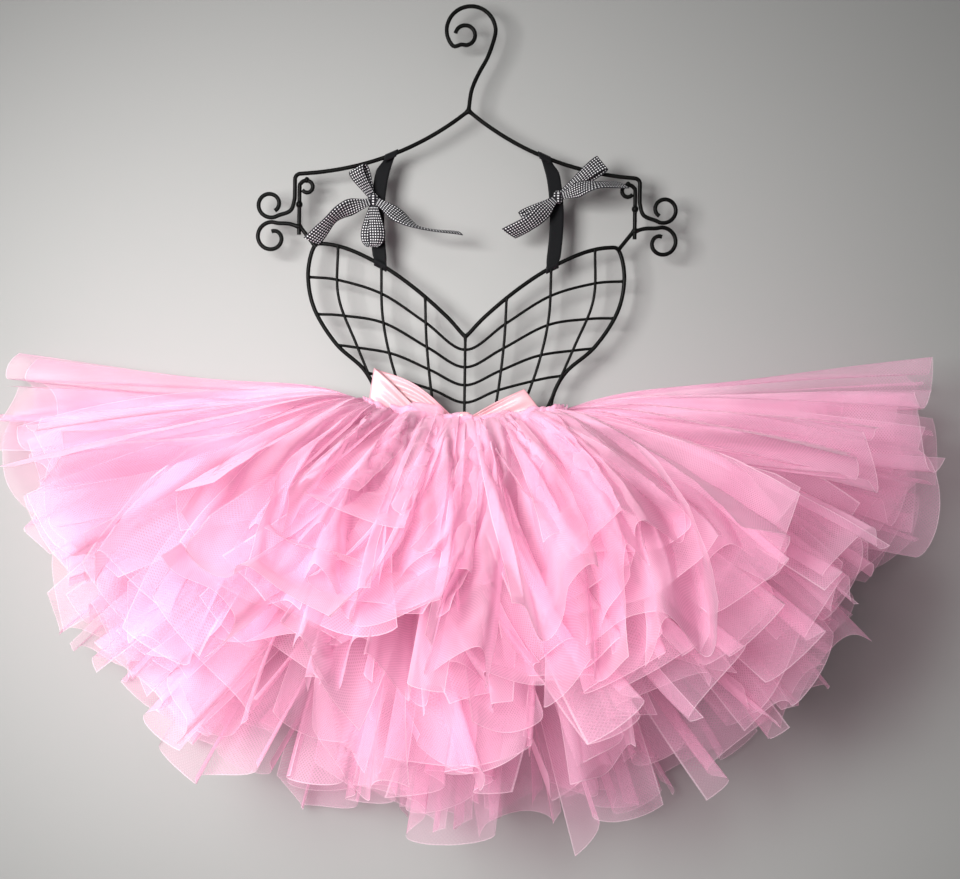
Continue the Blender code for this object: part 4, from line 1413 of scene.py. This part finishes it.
# ======================== net skirt
@dataclass
class KnotRows:
    """The knots of the net round the band, in one row behind it and one in front."""

    count: int = 12
    pitch: float = 12.4
    radius: float = 5.1
    half_width: float = 6.4
    height: float = 1.15
    flatness: float = 0.42
    spread: float = 0.08  # how much their size differs
    turned: Pair = (-35.0, 215.0)  # degrees of a knot's roll that show
    y: float = 9.5
    z: float = -351.5

    def row(self, half: Half, rng: np.random.Generator) -> list[Patch]:
        """The knots of one half: each a short roll of net pulled tight round the band.

        Args:
            half: the half of the skirt.
            rng: the random numbers.

        Returns:
            A patch for each knot.
        """
        turn = np.radians(np.linspace(*self.turned, 17))[:, None]
        across = np.linspace(-1.0, 1.0, 13)[None, :]
        patches = []
        for x in (np.arange(self.count) - (self.count - 1) / 2) * self.pitch:
            swell = 1.0 + self.spread * rng.uniform(-1.0, 1.0)
            crease = 0.35 * np.sin(across * 8.0 + x)
            radius = (self.radius + crease) * swell * (1.0 - 0.18 * across ** 4)
            y = half.value * (self.y + radius * self.flatness * np.cos(turn))
            z = self.z + radius * self.height * np.sin(turn) + 0.4 * np.sin(x) - waist_dip(x)
            grid = np.stack(np.broadcast_arrays(x + self.half_width * across, y, z), axis=-1)
            patches.append(Patch(grid, np.broadcast_to(40.0 + 10.0 * across, grid.shape[:2]),
                                 np.broadcast_to(60.0 + 2.0 * turn, grid.shape[:2]), x))
        return patches

    def build(self, finishes: Finishes, rng: np.random.Generator) -> None:
        """Builds and dresses both rows.

        Args:
            finishes: the materials.
            rng: the random numbers.
        """
        for half in Half:
            word = half.name.lower()
            row = add_cloth("net_knots_" + word, self.row(half, rng), finishes.knot_net,
                            ["knots_" + word])


@dataclass(frozen=True)
class Tier:
    """One layer of leaves: how it leans, fans out and hangs, and where it starts."""

    number: int
    half: Half
    tilt: float
    first_angle: float
    last_angle: float
    leaves: int
    length_share: float
    droop: float
    tip_curl: float
    root_y: float = 0.0
    rise: float = 0.0

    @property
    def wildness(self) -> float:
        """How freely the leaves fall, from 0 flat at the back to 1 tumbling in front."""
        return (self.number - 1) / (TIERS - 1)


@dataclass(frozen=True)
class LeafStyle:
    """What makes one leaf unlike the next. Depths are shares of the room that a leaf has."""

    angle: float  # degrees in the fan
    sweep: float  # degrees that its end strays from its start
    root_width: float  # millimetres between its sides at the root, as it is gathered
    hem_width: float  # and at the hem, as it is folded
    length: float  # share added to its length
    slant: float  # how much longer one side is
    depth: float  # place between the neighbouring tiers
    folds: float  # broad folds across it
    phase: float
    drift: float  # how far the folds wander sideways
    lean: float  # how far the folds lean over
    gather: float  # depth of the fine gathers at the root
    pleat: float  # depth of the fine pleats that run on down it
    fine_phase: float
    arch: float  # how round it comes over the band
    curl_first: float
    curl_last: float
    bow: float
    ripple: float
    twist: float
    crest: float
    shade: float


@dataclass(frozen=True)
class Petal:
    """A leaf of the front that is placed one by one. Depths are shares of the room that it has."""

    tier: int
    start: float  # degrees in the fan at its root
    end: float  # and at its hem
    length: float  # share of its tier's length
    root_width: float
    hem_width: float
    folds: float
    phase: float
    lean: float
    depth: float
    arch: float
    curl_first: float
    curl_last: float
    bow: float
    twist: float
    crest: float = 0.0

    def style(self, place: int) -> LeafStyle:
        """The petal as a style, with small things that differ from place to place.

        Args:
            place: its place in the list of petals.

        Returns:
            The style.
        """
        return LeafStyle(self.start, self.end - self.start, self.root_width, self.hem_width,
                         self.length - 1.0, 0.03 * math.cos(place), self.depth, self.folds, self.phase,
                         0.12 * math.sin(place), self.lean, 0.0, 0.03, 0.37 * place, self.arch,
                         self.curl_first, self.curl_last, self.bow, 0.2 * math.sin(2.0 * place), self.twist,
                         self.crest, 3.1 * place)


@dataclass(frozen=True)
class Draw:
    """A number that differs from leaf to leaf, and how it grows as the leaves fall wilder."""

    low: float
    high: float
    calm: float = 1.0  # what a leaf of wildness 0 multiplies it by
    growth: float = 0.0  # what a leaf of wildness 1 adds to that
    power: float = 1.0  # above 1, mostly the wildest leaves grow
    added: tuple = ()  # amounts that are added, each with the power of wildness that it grows with
    either_way: bool = False

    def drawn(self, rng: np.random.Generator, wild: float) -> float:
        """One draw.

        Args:
            rng: the random numbers.
            wild: the leaf's wildness.

        Returns:
            The number.
        """
        sign = rng.choice((-1.0, 1.0)) if self.either_way else 1.0
        value = sign * rng.uniform(self.low, self.high) * (self.calm + self.growth * wild ** self.power)
        for amount, power in self.added:
            value += amount * wild ** power
        return value


@dataclass(frozen=True)
class LeafDraws:
    """What is drawn for each leaf, in the order of the draws. LeafStyle tells what each one means."""

    hem_width: Draw = Draw(60.0, 108.0, added=((-8.0, 1), (26.0, 4)))
    angle: Draw = Draw(-0.3, 0.3)  # here in steps between the leaves
    sweep: Draw = Draw(-1.0, 1.0, 1.5, 27.0, 1.5)
    root_width: Draw = Draw(17.0, 22.0, added=((16.0, 2),))
    length: Draw = Draw(-0.10, 0.015, 1.0, 2.2, 2.0)
    slant: Draw = Draw(-0.03, 0.03, 1.0, 1.0)
    depth: Draw = Draw(-0.2, 0.2)
    folds: Draw = Draw(1.0, 2.3, added=((-0.3, 1), (-0.35, 4)))
    phase: Draw = Draw(0.0, 1.0)
    drift: Draw = Draw(-0.35, 0.35, 0.5, 1.0)
    lean: Draw = Draw(0.20, 0.46, either_way=True)
    fine_phase: Draw = Draw(0.0, 1.0)
    arch: Draw = Draw(0.3, 0.8, 0.0, 1.0)
    curl_first: Draw = Draw(-0.9, 1.1, 0.55, 0.8)
    curl_last: Draw = Draw(-0.9, 1.1, 0.55, 0.8)
    bow: Draw = Draw(-0.5, 0.6, 0.3, 1.0)
    ripple: Draw = Draw(-0.5, 0.5, 0.0, 1.0)
    twist: Draw = Draw(-0.7, 0.7, 0.4, 1.0)
    crest: Draw = Draw(-1.0, 1.0)
    shade: Draw = Draw(0.0, 40.0)


@dataclass
class TulleSkirt:
    """Leaves of doubled net strips, knotted round the band and fanned out in ten tiers."""

    strip_width: float = 132.0
    strip_length: float = 342.0
    root_half_width: float = 83.5
    root_top_z: float = -346.0
    root_sag: float = 9.0
    inner_root_y: float = 8.6
    tier_pitch: float = 2.35
    rise_share: float = 0.45  # how much of a tier's rise is left, as the front knots crowd down the band
    side_shortening: float = 0.09
    left_lift: float = 9.0  # how far the uppermost leaves puff up just beside the waist, on the left
    left_lift_share: float = 0.10
    curl_start: float = 0.55
    ray_steps: int = 24
    columns: int = 32
    rows: int = 28
    head_rows: int = 5
    row_crowding: float = 1.15  # above 1, a leaf's rows lie closer at its root
    swing_limit: float = 1.35  # how far a fold may pass the room between the tiers
    deepest_folds: float = 2.2
    halvings: int = 9  # steps in which the depth of the folds is found
    settling: int = 5  # rows over which that depth is evened out
    sweep_power: float = 1.6  # above 1, a leaf strays mostly near its hem
    bloom: float = 2.3  # how soon a leaf opens out below its root
    hem_wave: float = 0.035  # how unevenly a leaf's cut end hangs
    fine_gathers: float = 6.0
    gather_reach: float = 0.24  # share of a leaf in which they fade
    fold_reach: float = 0.2  # and in which its folds reach their depth
    curl_from: float = 0.25  # where along it its sides start to curl
    crumple: float = 1.8  # depth of the small soft dents all over a leaf
    front_crumple: float = 7.0  # how much deeper they are half way down the front leaves
    smooth_head: float = 0.05  # share of a front leaf in which its fine gathers start, below its smooth roll
    fan_margin: float = 1.5  # degrees that a leaf may pass its tier's ends
    back_room: float = 5.0  # what the outermost back tier may use towards the wall
    least_room: float = 4.0  # net gives way, so leaves of neighbouring tiers may press into each other
    front_room: float = 10.0  # added for the leaves that tumble in front
    room_growth: float = 1.6
    widest_room: float = 30.0
    outer_room: float = 10.5
    seed: int = 7
    side_bulge: float = 10.0  # degrees by which the uppermost leaves puff up near the waist
    bulge_reach: float = 0.28  # share of their length in which they do
    left_puff: float = 8.0  # how far their heads rise on either side
    right_puff: float = 2.0
    band_reach: float = 8.3  # how far the band and its knots stand out
    head_back: Pair = (0.3, 5.2)  # least and most that a head lies behind its root
    head_height: Triple = (2.5, 0.55, 1.2)  # least, with its depth, and with its crest
    head_pull: Pair = (0.55, 1.6)  # how far back and up the curve of a head is pulled
    head_drop: float = 2.5
    head_cut: Pair = (-0.05, -0.01)  # its place on the cut, in lengths of the leaf
    knots: KnotRows = field(default_factory=KnotRows)
    draws: LeafDraws = LeafDraws()
    depth_step: float = 0.40  # how far leaves stand by turns in front of and behind their tier
    depth_loss: float = 0.3  # how much closer the wildest lie
    gather: Triple = (0.02, 0.95, 1.3)  # least, for a calm leaf, and lost with wildness
    pleat: Pair = (0.04, 0.24)  # for a wild leaf, and added for a calm one
    petals: tuple[Petal, ...] = (
        Petal(10, 246, 240, 0.60, 34, 66, 1.2, 0.15, -0.30, 0.7, 1.5, -0.9, -0.6, 0.5, 0.3, 3.6),
        Petal(10, 266, 262, 0.83, 34, 46, 1.6, 0.60, 0.32, 0.4, 0.6, -1.0, -0.8, 0.3, -0.4, 0.0),
        Petal(10, 290, 297, 1.10, 34, 76, 1.2, 0.10, 0.28, 0.1, 0.4, 0.9, -0.6, 0.6, 0.5, -0.6),
        Petal(10, 291, 300, 0.43, 32, 48, 1.1, 0.40, 0.12, 1.0, 0.4, -0.5, 0.6, 0.3, 0.2, -0.8),
        Petal(10, 309, 310, 0.80, 32, 74, 1.1, 0.20, 0.25, 0.5, 0.6, -0.4, -1.3, 0.7, -0.3, -0.4),
        Petal(10, 229, 217, 0.63, 26, 70, 1.2, 0.30, -0.25, 0.3, 0.8, -0.6, 0.5, 0.4, 0.3, 0.4),
        Petal(9, 256, 260, 0.83, 30, 80, 1.1, 0.50, 0.25, 0.3, 0.5, 1.1, -0.9, 0.8, -0.5),
        Petal(9, 236, 240, 0.92, 28, 60, 1.5, 0.80, -0.38, 0.5, 0.8, -0.7, 0.8, 0.3, 0.4),
        Petal(9, 276, 268, 1.03, 30, 56, 1.4, 0.05, 0.34, 0.2, 0.4, 0.7, -0.8, 0.4, -0.3),
        Petal(9, 320, 315, 0.91, 28, 66, 1.2, 0.65, 0.30, 0.3, 0.7, -0.6, 1.0, 0.5, 0.5),
        Petal(9, 227, 224, 0.72, 26, 62, 1.2, 0.35, -0.28, 0.6, 0.7, -0.8, -0.5, 0.5, -0.4),
        Petal(9, 333, 326, 0.80, 26, 62, 1.3, 0.90, 0.32, 0.2, 0.2, 0.6, -0.9, 0.4, 0.3),
        Petal(8, 262, 260, 0.99, 30, 54, 1.4, 0.25, -0.36, 0.4, 0.5, 0.8, 0.9, 0.4, 0.6),
        Petal(8, 304, 294, 0.99, 30, 60, 1.5, 0.55, 0.36, 0.3, 0.5, -0.9, 0.7, 0.3, -0.6),
        Petal(8, 336, 315, 1.04, 26, 60, 1.3, 0.75, 0.30, 0.2, 0.2, 0.9, -0.7, 0.5, 0.4),
        Petal(8, 242, 246, 0.95, 28, 60, 1.4, 0.95, -0.32, 0.4, 0.6, -0.8, 0.9, 0.4, -0.5),
    )
    table: tuple = (
        (Half.BACK, 0.0, 172.0, 369.0, 16, 1.00, 0.04, 0.0),
        (Half.BACK, 3.5, 177.0, 364.0, 16, 1.00, 0.06, 0.0),
        (Half.BACK, 7.5, 171.5, 370.0, 16, 0.99, 0.08, 0.0),
        (Half.FRONT, 20.0, 175.0, 366.0, 16, 1.00, 0.12, 0.0),
        (Half.FRONT, 28.0, 179.0, 361.0, 16, 0.98, 0.18, 2.0),
        (Half.FRONT, 36.0, 184.0, 357.0, 15, 0.95, 0.24, 4.0),
        (Half.FRONT, 44.0, 190.0, 350.0, 15, 0.91, 0.30, 8.0),
        (Half.FRONT, 52.0, 197.0, 343.0, 10, 0.87, 0.36, 12.0),
        (Half.FRONT, 60.0, 205.0, 335.0, 7, 0.83, 0.42, 17.0),
        (Half.FRONT, 68.0, 213.0, 327.0, 5, 0.75, 0.48, 23.0),
    )

    def __post_init__(self) -> None:
        """Places the tiers and starts the random numbers."""
        self.rng = np.random.default_rng(self.seed)
        self.tiers = self.placed_tiers()

    def placed_tiers(self) -> list[Tier]:
        """The rows of the table with the depth and rise of their start. Tiers stack square to the cloth.

        Returns:
            The tiers by their number.
        """
        placed: dict[int, Tier] = {}
        for half in Half:
            numbers = [number for number, row in enumerate(self.table) if row[0] is half]
            outward = numbers if half is Half.FRONT else numbers[::-1]
            root_y, rise = self.inner_root_y * half.value, 0.0
            for place, number in enumerate(outward):
                placed[number] = Tier(number + 1, *self.table[number], root_y=root_y, rise=rise)
                if place + 1 < len(outward):
                    tilt = math.radians((self.table[number][1] + self.table[outward[place + 1]][1]) / 2)
                    root_y += self.tier_pitch * math.cos(tilt) * half.value
                    rise -= self.tier_pitch * math.sin(tilt) * half.value * self.rise_share
        return [placed[number] for number in sorted(placed)]

    def root(self, tier: Tier, turn: Array) -> Array:
        """Where a leaf of a tier starts.

        Args:
            tier: the tier.
            turn: angles in the fan.

        Returns:
            A point for each.
        """
        sag = np.where(np.sin(turn) < 0.0, self.root_sag * np.abs(np.sin(turn)), 0.0)
        x = self.root_half_width * np.cos(turn)
        z = self.root_top_z - sag + tier.rise - waist_dip(x)
        return np.stack([x, np.full_like(turn, tier.root_y), z], axis=-1)

    def direction(self, tier: Tier, turn: Array, share: Array) -> Array:
        """Which way a leaf runs: out in the fan, forward, and down as it droops.

        Args:
            tier: its tier.
            turn: its angle in the fan, at each point.
            share: share of its length, at each point.

        Returns:
            A direction for each.
        """
        curl = tier.tip_curl * smoothstep((share - self.curl_start) / (1.0 - self.curl_start))
        tilt = np.radians(tier.tilt + curl)
        return unit(np.stack([np.cos(tilt) * np.cos(turn), -np.sin(tilt) * np.ones_like(turn),
                              np.cos(tilt) * np.sin(turn) - tier.droop * share], axis=-1))

    def surface(self, tier: Tier, angle: Array, share: Array) -> tuple[Grid, Grid]:
        """The tier's smooth surface.

        Args:
            tier: the tier.
            angle: degrees in the fan, at each point.
            share: share of the leaf's length, at each point.

        Returns:
            The points, and the outward direction at each.
        """
        turn = np.radians(angle)
        reach = self.strip_length * tier.length_share * (1.0 - self.side_shortening * np.cos(turn) ** 2)
        run = np.zeros(turn.shape + (3,))
        for step in range(self.ray_steps):
            run += self.direction(tier, turn, share * (step + 0.5) / self.ray_steps)
        point = self.root(tier, turn) + run * (reach * share / self.ray_steps)[..., None]
        puff = np.clip(share / self.left_lift_share, 0.0, None)
        point[..., 2] += self.left_lift * np.clip(-np.cos(turn), 0.0, 1.0) ** 8 * puff * np.exp(1.0 - puff)
        across = np.stack([-np.sin(turn), np.zeros_like(turn), np.cos(turn)], axis=-1)
        return point, unit(np.cross(self.direction(tier, turn, share), across))

    def rooms(self, tier: Tier, angle: Array, share: Array, point: Grid,
              outward: Grid) -> tuple[Array, Array]:
        """Half the way to the next tiers.

        Args:
            tier: the tier.
            angle: degrees in the fan, at each point.
            share: share of the leaf's length, at each point.
            point: the points of its smooth surface.
            outward: its outward directions.

        Returns:
            The room in front and behind, at each point.
        """
        found: dict[int, Array] = {}
        for step in (-1, 1):
            number = tier.number + step
            if 1 <= number <= len(self.tiers) and self.tiers[number - 1].half is tier.half:
                other = self.surface(self.tiers[number - 1], angle, share)[0]
                found[step] = np.abs(np.sum((other - point) * outward, axis=-1)) / 2
        behind = found.get(-1, found.get(1))
        before = found.get(1, found.get(-1))
        if tier.number == 1:
            behind = np.minimum(behind, self.back_room)
        least = (self.least_room + self.front_room * tier.wildness ** 2) * (1.0 + self.room_growth * share)
        before, behind = (np.clip(room, least, self.widest_room) for room in (before, behind))
        if tier.number == len(self.tiers):
            before = np.minimum(before, self.outer_room)
        return before, behind

    def style(self, tier: Tier, place: int) -> LeafStyle:
        """The style of one leaf of a tier. The order of its draws decides the look of the whole skirt.

        Args:
            tier: the tier.
            place: its place in the tier, counted from the left.

        Returns:
            The style.
        """
        wild = tier.wildness
        drawn = {name: draw.drawn(self.rng, wild) for name, draw in vars(self.draws).items()}
        radius = self.strip_length * tier.length_share + self.root_half_width * 0.8
        margin = math.degrees(drawn["hem_width"] / 2 / radius) * 0.8
        first, last = tier.first_angle + margin, tier.last_angle - margin
        drawn["angle"] = first + (last - first) / (tier.leaves - 1) * (place + drawn["angle"])
        step = self.depth_step if place % 2 else -self.depth_step
        drawn["depth"] = step + drawn["depth"] - self.depth_loss * wild
        return LeafStyle(gather=max(self.gather[0], self.gather[1] - self.gather[2] * wild),
                         pleat=self.pleat[1] * (1.0 - wild) ** 2 + self.pleat[0], **drawn)

    def spread(self, tier: Tier, style: LeafStyle, along: Array) -> tuple[Array, Array]:
        """How a leaf lies in the fan.

        Args:
            tier: its tier.
            style: its style.
            along: share of its length, for each row.

        Returns:
            The angle of its middle in each row, and half the angle between its sides.
        """
        middle = style.angle + style.sweep * along ** self.sweep_power
        aside = self.surface(tier, middle + 1.0, along)[0] - self.surface(tier, middle - 1.0, along)[0]
        opening = 1.0 - (1.0 - along) ** self.bloom
        width = style.root_width + (style.hem_width - style.root_width) * opening
        return middle, width / np.linalg.norm(aside, axis=-1)

    def leaf(self, tier: Tier, style: LeafStyle) -> Patch:
        """One leaf: gathered at its root, opening into a few leaning folds, its sides and end curling.

        Args:
            tier: its tier.
            style: its style.

        Returns:
            The leaf, with the place of each point on its strip of net.
        """
        across = np.linspace(0.0, 1.0, self.columns + 1)[None, :]
        along = np.linspace(0.0, 1.0, self.rows + 1)[:, None] ** self.row_crowding
        side = 2.0 * across - 1.0
        fold = np.sin(math.tau * (style.folds * across + style.phase + style.drift * along))
        middle, half_angle = self.spread(tier, style, along)
        angle = middle + half_angle * (side + style.lean * fold * (0.6 + 0.4 * along))
        margin = self.fan_margin + self.side_bulge * np.exp(-(along / self.bulge_reach) ** 2)
        angle = np.clip(angle, tier.first_angle - margin, tier.last_angle + margin)
        scallop = self.hem_wave * np.sin(math.tau * (0.9 * across + 2.0 * style.phase)) * along ** 3
        share = along * (1.0 + style.length + style.slant * side * along + scallop)
        point, outward = self.surface(tier, angle, share)
        rooms = self.rooms(tier, angle, share, point, outward)

        fine = np.sin(math.tau * (self.fine_gathers * across + style.fine_phase + 0.15 * fold))
        fine = fine * (style.gather * (1.0 - smoothstep(along / self.gather_reach))
                       + style.pleat * (1.0 - smoothstep(along)))
        if tier.half is Half.FRONT:
            fine = fine * smoothstep(along / self.smooth_head)
        waves = fold * smoothstep(along / self.fold_reach + 0.25) + fine
        grid = self.fitted(point, outward, rooms, self.calm_form(style, side, along), waves)
        depth = self.crumple * (1.0 + self.front_crumple * tier.wildness ** 2 * along * (1.0 - along))
        depth = depth * smoothstep(along / 0.35) * self.dents(style, across, along)
        grid = grid + outward * depth[..., None]
        grid = np.vstack([self.head(tier, style, grid), grid])
        cut_length = self.strip_length * tier.length_share * (1.0 + style.length)
        cut_along = np.vstack([np.linspace(*self.head_cut, self.head_rows)[:, None], along])
        shape = grid.shape[:2]
        return Patch(grid, np.broadcast_to(across * self.strip_width, shape),
                     np.broadcast_to(cut_along * cut_length - cut_length, shape), style.shade)

    def calm_form(self, style: LeafStyle, side: Array, along: Array) -> Array:
        """How far a leaf lies from its tier without its folds.

        Args:
            style: its style.
            side: place across it, from -1 to 1.
            along: share of its length.

        Returns:
            The depth at each point, as a share of the room that it has.
        """
        late = smoothstep((along - self.curl_from) / (1.0 - self.curl_from))
        first, last = np.clip(-side, 0.0, 1.0) ** 2, np.clip(side, 0.0, 1.0) ** 2
        return (style.depth + (style.curl_first * first + style.curl_last * last) * late
                + style.twist * side * along + style.bow * np.sin(np.pi * along)
                + style.ripple * np.sin(math.tau * (1.4 * along + style.phase)) * along
                + style.arch * (1.0 - side ** 2) * (1.0 - smoothstep(along / 0.5)))

    def fitted(self, point: Grid, outward: Grid, rooms: tuple[Array, Array], calm: Array,
               waves: Array) -> Grid:
        """A leaf with folds as deep in each row as its width asks.

        Each row is as wide as the strip of net when it is smoothed out, as far as the folds have room.

        Args:
            point: the points of the smooth surface.
            outward: its outward directions.
            rooms: the room in front and behind, at each point.
            calm: the depth without folds.
            waves: the folds, between about -1 and 1.

        Returns:
            The leaf's points.
        """
        def settled(scale: Array) -> Grid:
            """The leaf with its folds this deep in each row."""
            swing = self.swing_limit * np.tanh((calm + scale[:, None] * waves) / self.swing_limit)
            return point + outward * (swing * np.where(swing > 0.0, *rooms))[..., None]

        low, high = np.zeros(self.rows + 1), np.full(self.rows + 1, self.deepest_folds)
        for _ in range(self.halvings):
            trial = (low + high) / 2
            widths = np.linalg.norm(np.diff(settled(trial), axis=1), axis=-1).sum(axis=1)
            low = np.where(widths < self.strip_width, trial, low)
            high = np.where(widths < self.strip_width, high, trial)
        padded = np.pad(low, self.settling // 2, mode="edge")
        return settled(np.convolve(padded, np.ones(self.settling) / self.settling, mode="valid"))

    def dents(self, style: LeafStyle, across: Array, along: Array) -> Array:
        """Small soft dents all over a leaf.

        Args:
            style: its style.
            across: place across it, from 0 to 1.
            along: share of its length.

        Returns:
            The dents, between about -1 and 1.
        """
        first, second = math.tau * np.array((style.phase, style.fine_phase))
        return (np.sin(math.tau * (2.3 * across + 2.1 * along) + first)
                * np.sin(math.tau * (1.3 * across - 3.4 * along) + second)
                + 0.5 * np.sin(math.tau * (3.1 * across - 1.6 * along) + first + second))

    def head(self, tier: Tier, style: LeafStyle, grid: Grid) -> Grid:
        """The gathered start of a leaf, which comes up behind its root and rolls over.

        Args:
            tier: its tier.
            style: its style.
            grid: the rest of the leaf.

        Returns:
            The rows that lie before it.
        """
        least, most = self.head_back
        back = min(most, max(least, abs(tier.root_y) - self.band_reach))
        height = np.dot(self.head_height, (1.0, back, style.crest))
        aside = math.cos(math.radians(style.angle))
        height += (self.left_puff if aside < 0.0 else self.right_puff) * aside ** 4
        root, inward = grid[:1], -tier.half.value
        start = root + np.array((0.0, inward * back, -self.head_drop))
        crest = root + np.array((0.0, inward * back * self.head_pull[0], height * self.head_pull[1]))
        return bezier(start, crest, root, np.linspace(0.0, 1.0, self.head_rows + 1)[:-1, None, None])

    def build(self, finishes: Finishes) -> None:
        """Builds and dresses the knots and the ten tiers.

        Args:
            finishes: the materials.
        """
        total = 0
        self.knots.build(finishes, self.rng)
        for tier in self.tiers:
            styles = [self.style(tier, place) for place in range(tier.leaves)]
            styles += [petal.style(place) for place, petal in enumerate(self.petals)
                       if petal.tier == tier.number]
            leaves = [self.leaf(tier, style) for style in styles]
            total += len(leaves)
            piece = add_cloth("net_tier_%02d" % tier.number, leaves, finishes.net,
                              ["tulle_tier_%02d" % tier.number])
        LOG.info("skirt: %d leaves", total)


# ======================== studio
@dataclass(frozen=True)
class LampShape:
    """A soft lamp: where it stands, what it looks at, its size and its strength."""

    name: str
    place: Triple
    target: Triple
    size: float
    watts: float
    colour: Colour = (1.0, 1.0, 1.0)
    spread: float = 180.0  # degrees


@dataclass
class Studio:
    """A pale wall and floor, soft lamps, and the camera. Sizes are in metres."""

    wall_y: float = 0.030
    floor_z: float = -1.25
    wall_half: float = 4.0
    wall_top: float = 2.2
    wall_colour: Colour = (0.36, 0.365, 0.36)
    floor_colour: Colour = (0.60, 0.59, 0.58)
    aim: Triple = (0.0138, 0.0, -0.371)
    distance: float = 1.5
    view_width: float = 0.8256
    roll: float = -0.8
    world_colour: Colour = (0.88, 0.865, 0.85)
    world_strength: float = 0.26
    clear_layers: int = 12  # how many layers of net a ray may pass
    bounces: int = 1
    lamps: tuple[LampShape, ...] = (
        LampShape("key_lamp", (-0.55, -1.05, -0.20), (-0.14, -0.10, -0.46), 0.5, 5.5, (1.0, 0.985, 0.97),
                  75.0),
        LampShape("fill_lamp", (-0.2, -2.3, 0.7), (0.0, 0.0, -0.4), 1.6, 6.6, (0.98, 0.99, 1.0)),
        LampShape("rear_lamp", (-0.6, 1.8, 0.5), (0.0, 0.0, -0.4), 1.4, 18.0),
    )

    def plain(self, name: str, colour: Sequence[float], one_sided: bool) -> Material:
        """A matt surface with very faint mottling.

        Args:
            name: its name.
            colour: its colour.
            one_sided: it can't be seen from behind and casts no shadow.

        Returns:
            The material.
        """
        material, nodes, shader = new_material(name)
        place = nodes.new("TexCoord").outputs["Object"]
        darker = opaque([value * 0.96 for value in colour])
        mottled = nodes.mix(nodes.noise(place, 3.0, 4.0), darker, opaque(colour))
        nodes.feed(shader.inputs["Base Color"], mottled)
        set_shader(shader, Roughness=0.9, Specular_IOR_Level=0.2)
        if one_sided:
            behind = nodes.new("NewGeometry").outputs["Backfacing"]
            shadow = nodes.new("LightPath").outputs["Is Shadow Ray"]
            nodes.show(nodes.blend(nodes.maths("MAXIMUM", behind, shadow), shader,
                                   nodes.new("BsdfTransparent")))
        return material

    def panel(self, name: str, corners: Sequence[Sequence[float]], material: Material) -> None:
        """A flat stage panel, its face towards the side from which its corners run anticlockwise.

        Args:
            name: its name.
            corners: its four corners.
            material: its surface.
        """
        mesh = bpy.data.meshes.new(name)
        mesh.from_pydata([tuple(corner) for corner in corners], [], [(0, 1, 2, 3)])
        mesh.materials.append(material)
        panel = bpy.data.objects.new(name, mesh)
        link(panel)

    def lamp(self, shape: LampShape) -> None:
        """A square soft lamp.

        Args:
            shape: its place, size and strength.
        """
        data = bpy.data.lights.new(shape.name, "AREA")
        data.size = shape.size
        data.energy = shape.watts
        data.color = shape.colour
        data.spread = math.radians(shape.spread)
        lamp = bpy.data.objects.new(shape.name, data)
        lamp.location = shape.place
        look = Vector(shape.target) - Vector(shape.place)
        lamp.rotation_euler = look.to_track_quat("-Z", "Y").to_euler()
        link(lamp)

    def camera(self) -> None:
        """The camera, square to the wall and turned a little about its own axis."""
        data = bpy.data.cameras.new("camera")
        data.sensor_fit = "HORIZONTAL"
        data.angle = 2.0 * math.atan(self.view_width / 2.0 / self.distance)
        camera = bpy.data.objects.new("camera", data)
        place = Matrix.Translation(Vector(self.aim) + Vector((0.0, -self.distance, 0.0)))
        upright = Matrix.Rotation(math.radians(90.0), 4, "X")
        rolled = Matrix.Rotation(math.radians(self.roll), 4, "Y")
        camera.matrix_world = place @ rolled @ upright
        link(camera)
        bpy.context.scene.camera = camera

    def build(self) -> None:
        """Builds the stage, the lamps and the camera."""
        half, top, floor, y = self.wall_half, self.wall_top, self.floor_z, self.wall_y
        wall = self.plain("wall_paint", self.wall_colour, True)
        ground = self.plain("floor_paint", self.floor_colour, False)
        self.panel("wall", ((-half, y, floor), (half, y, floor), (half, y, top), (-half, y, top)), wall)
        self.panel("floor", ((-half, -half, floor), (half, -half, floor), (half, half, floor),
                             (-half, half, floor)), ground)
        for shape in self.lamps:
            self.lamp(shape)
        self.camera()
        world = bpy.data.worlds.new("pale_room")
        world.use_nodes = True
        background = world.node_tree.nodes["Background"]
        background.inputs["Color"].default_value = opaque(self.world_colour)
        background.inputs["Strength"].default_value = self.world_strength
        scene = bpy.context.scene
        scene.world = world
        scene.view_settings.view_transform = "Standard"
        scene.cycles.transparent_max_bounces = self.clear_layers
        scene.cycles.diffuse_bounces = self.bounces


def main() -> None:
    """Builds the studio and every sub-assembly in order."""
    logging.basicConfig(level=logging.INFO, format="%(name)s: %(message)s")
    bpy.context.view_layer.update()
    Studio().build()
    finishes = Finishes()
    for assembly in (WireHanger(), Straps(), GinghamBows(), SatinBow(), Waistband(), TulleSkirt()):
        assembly.build(finishes)


if __name__ == "__main__":
    main()
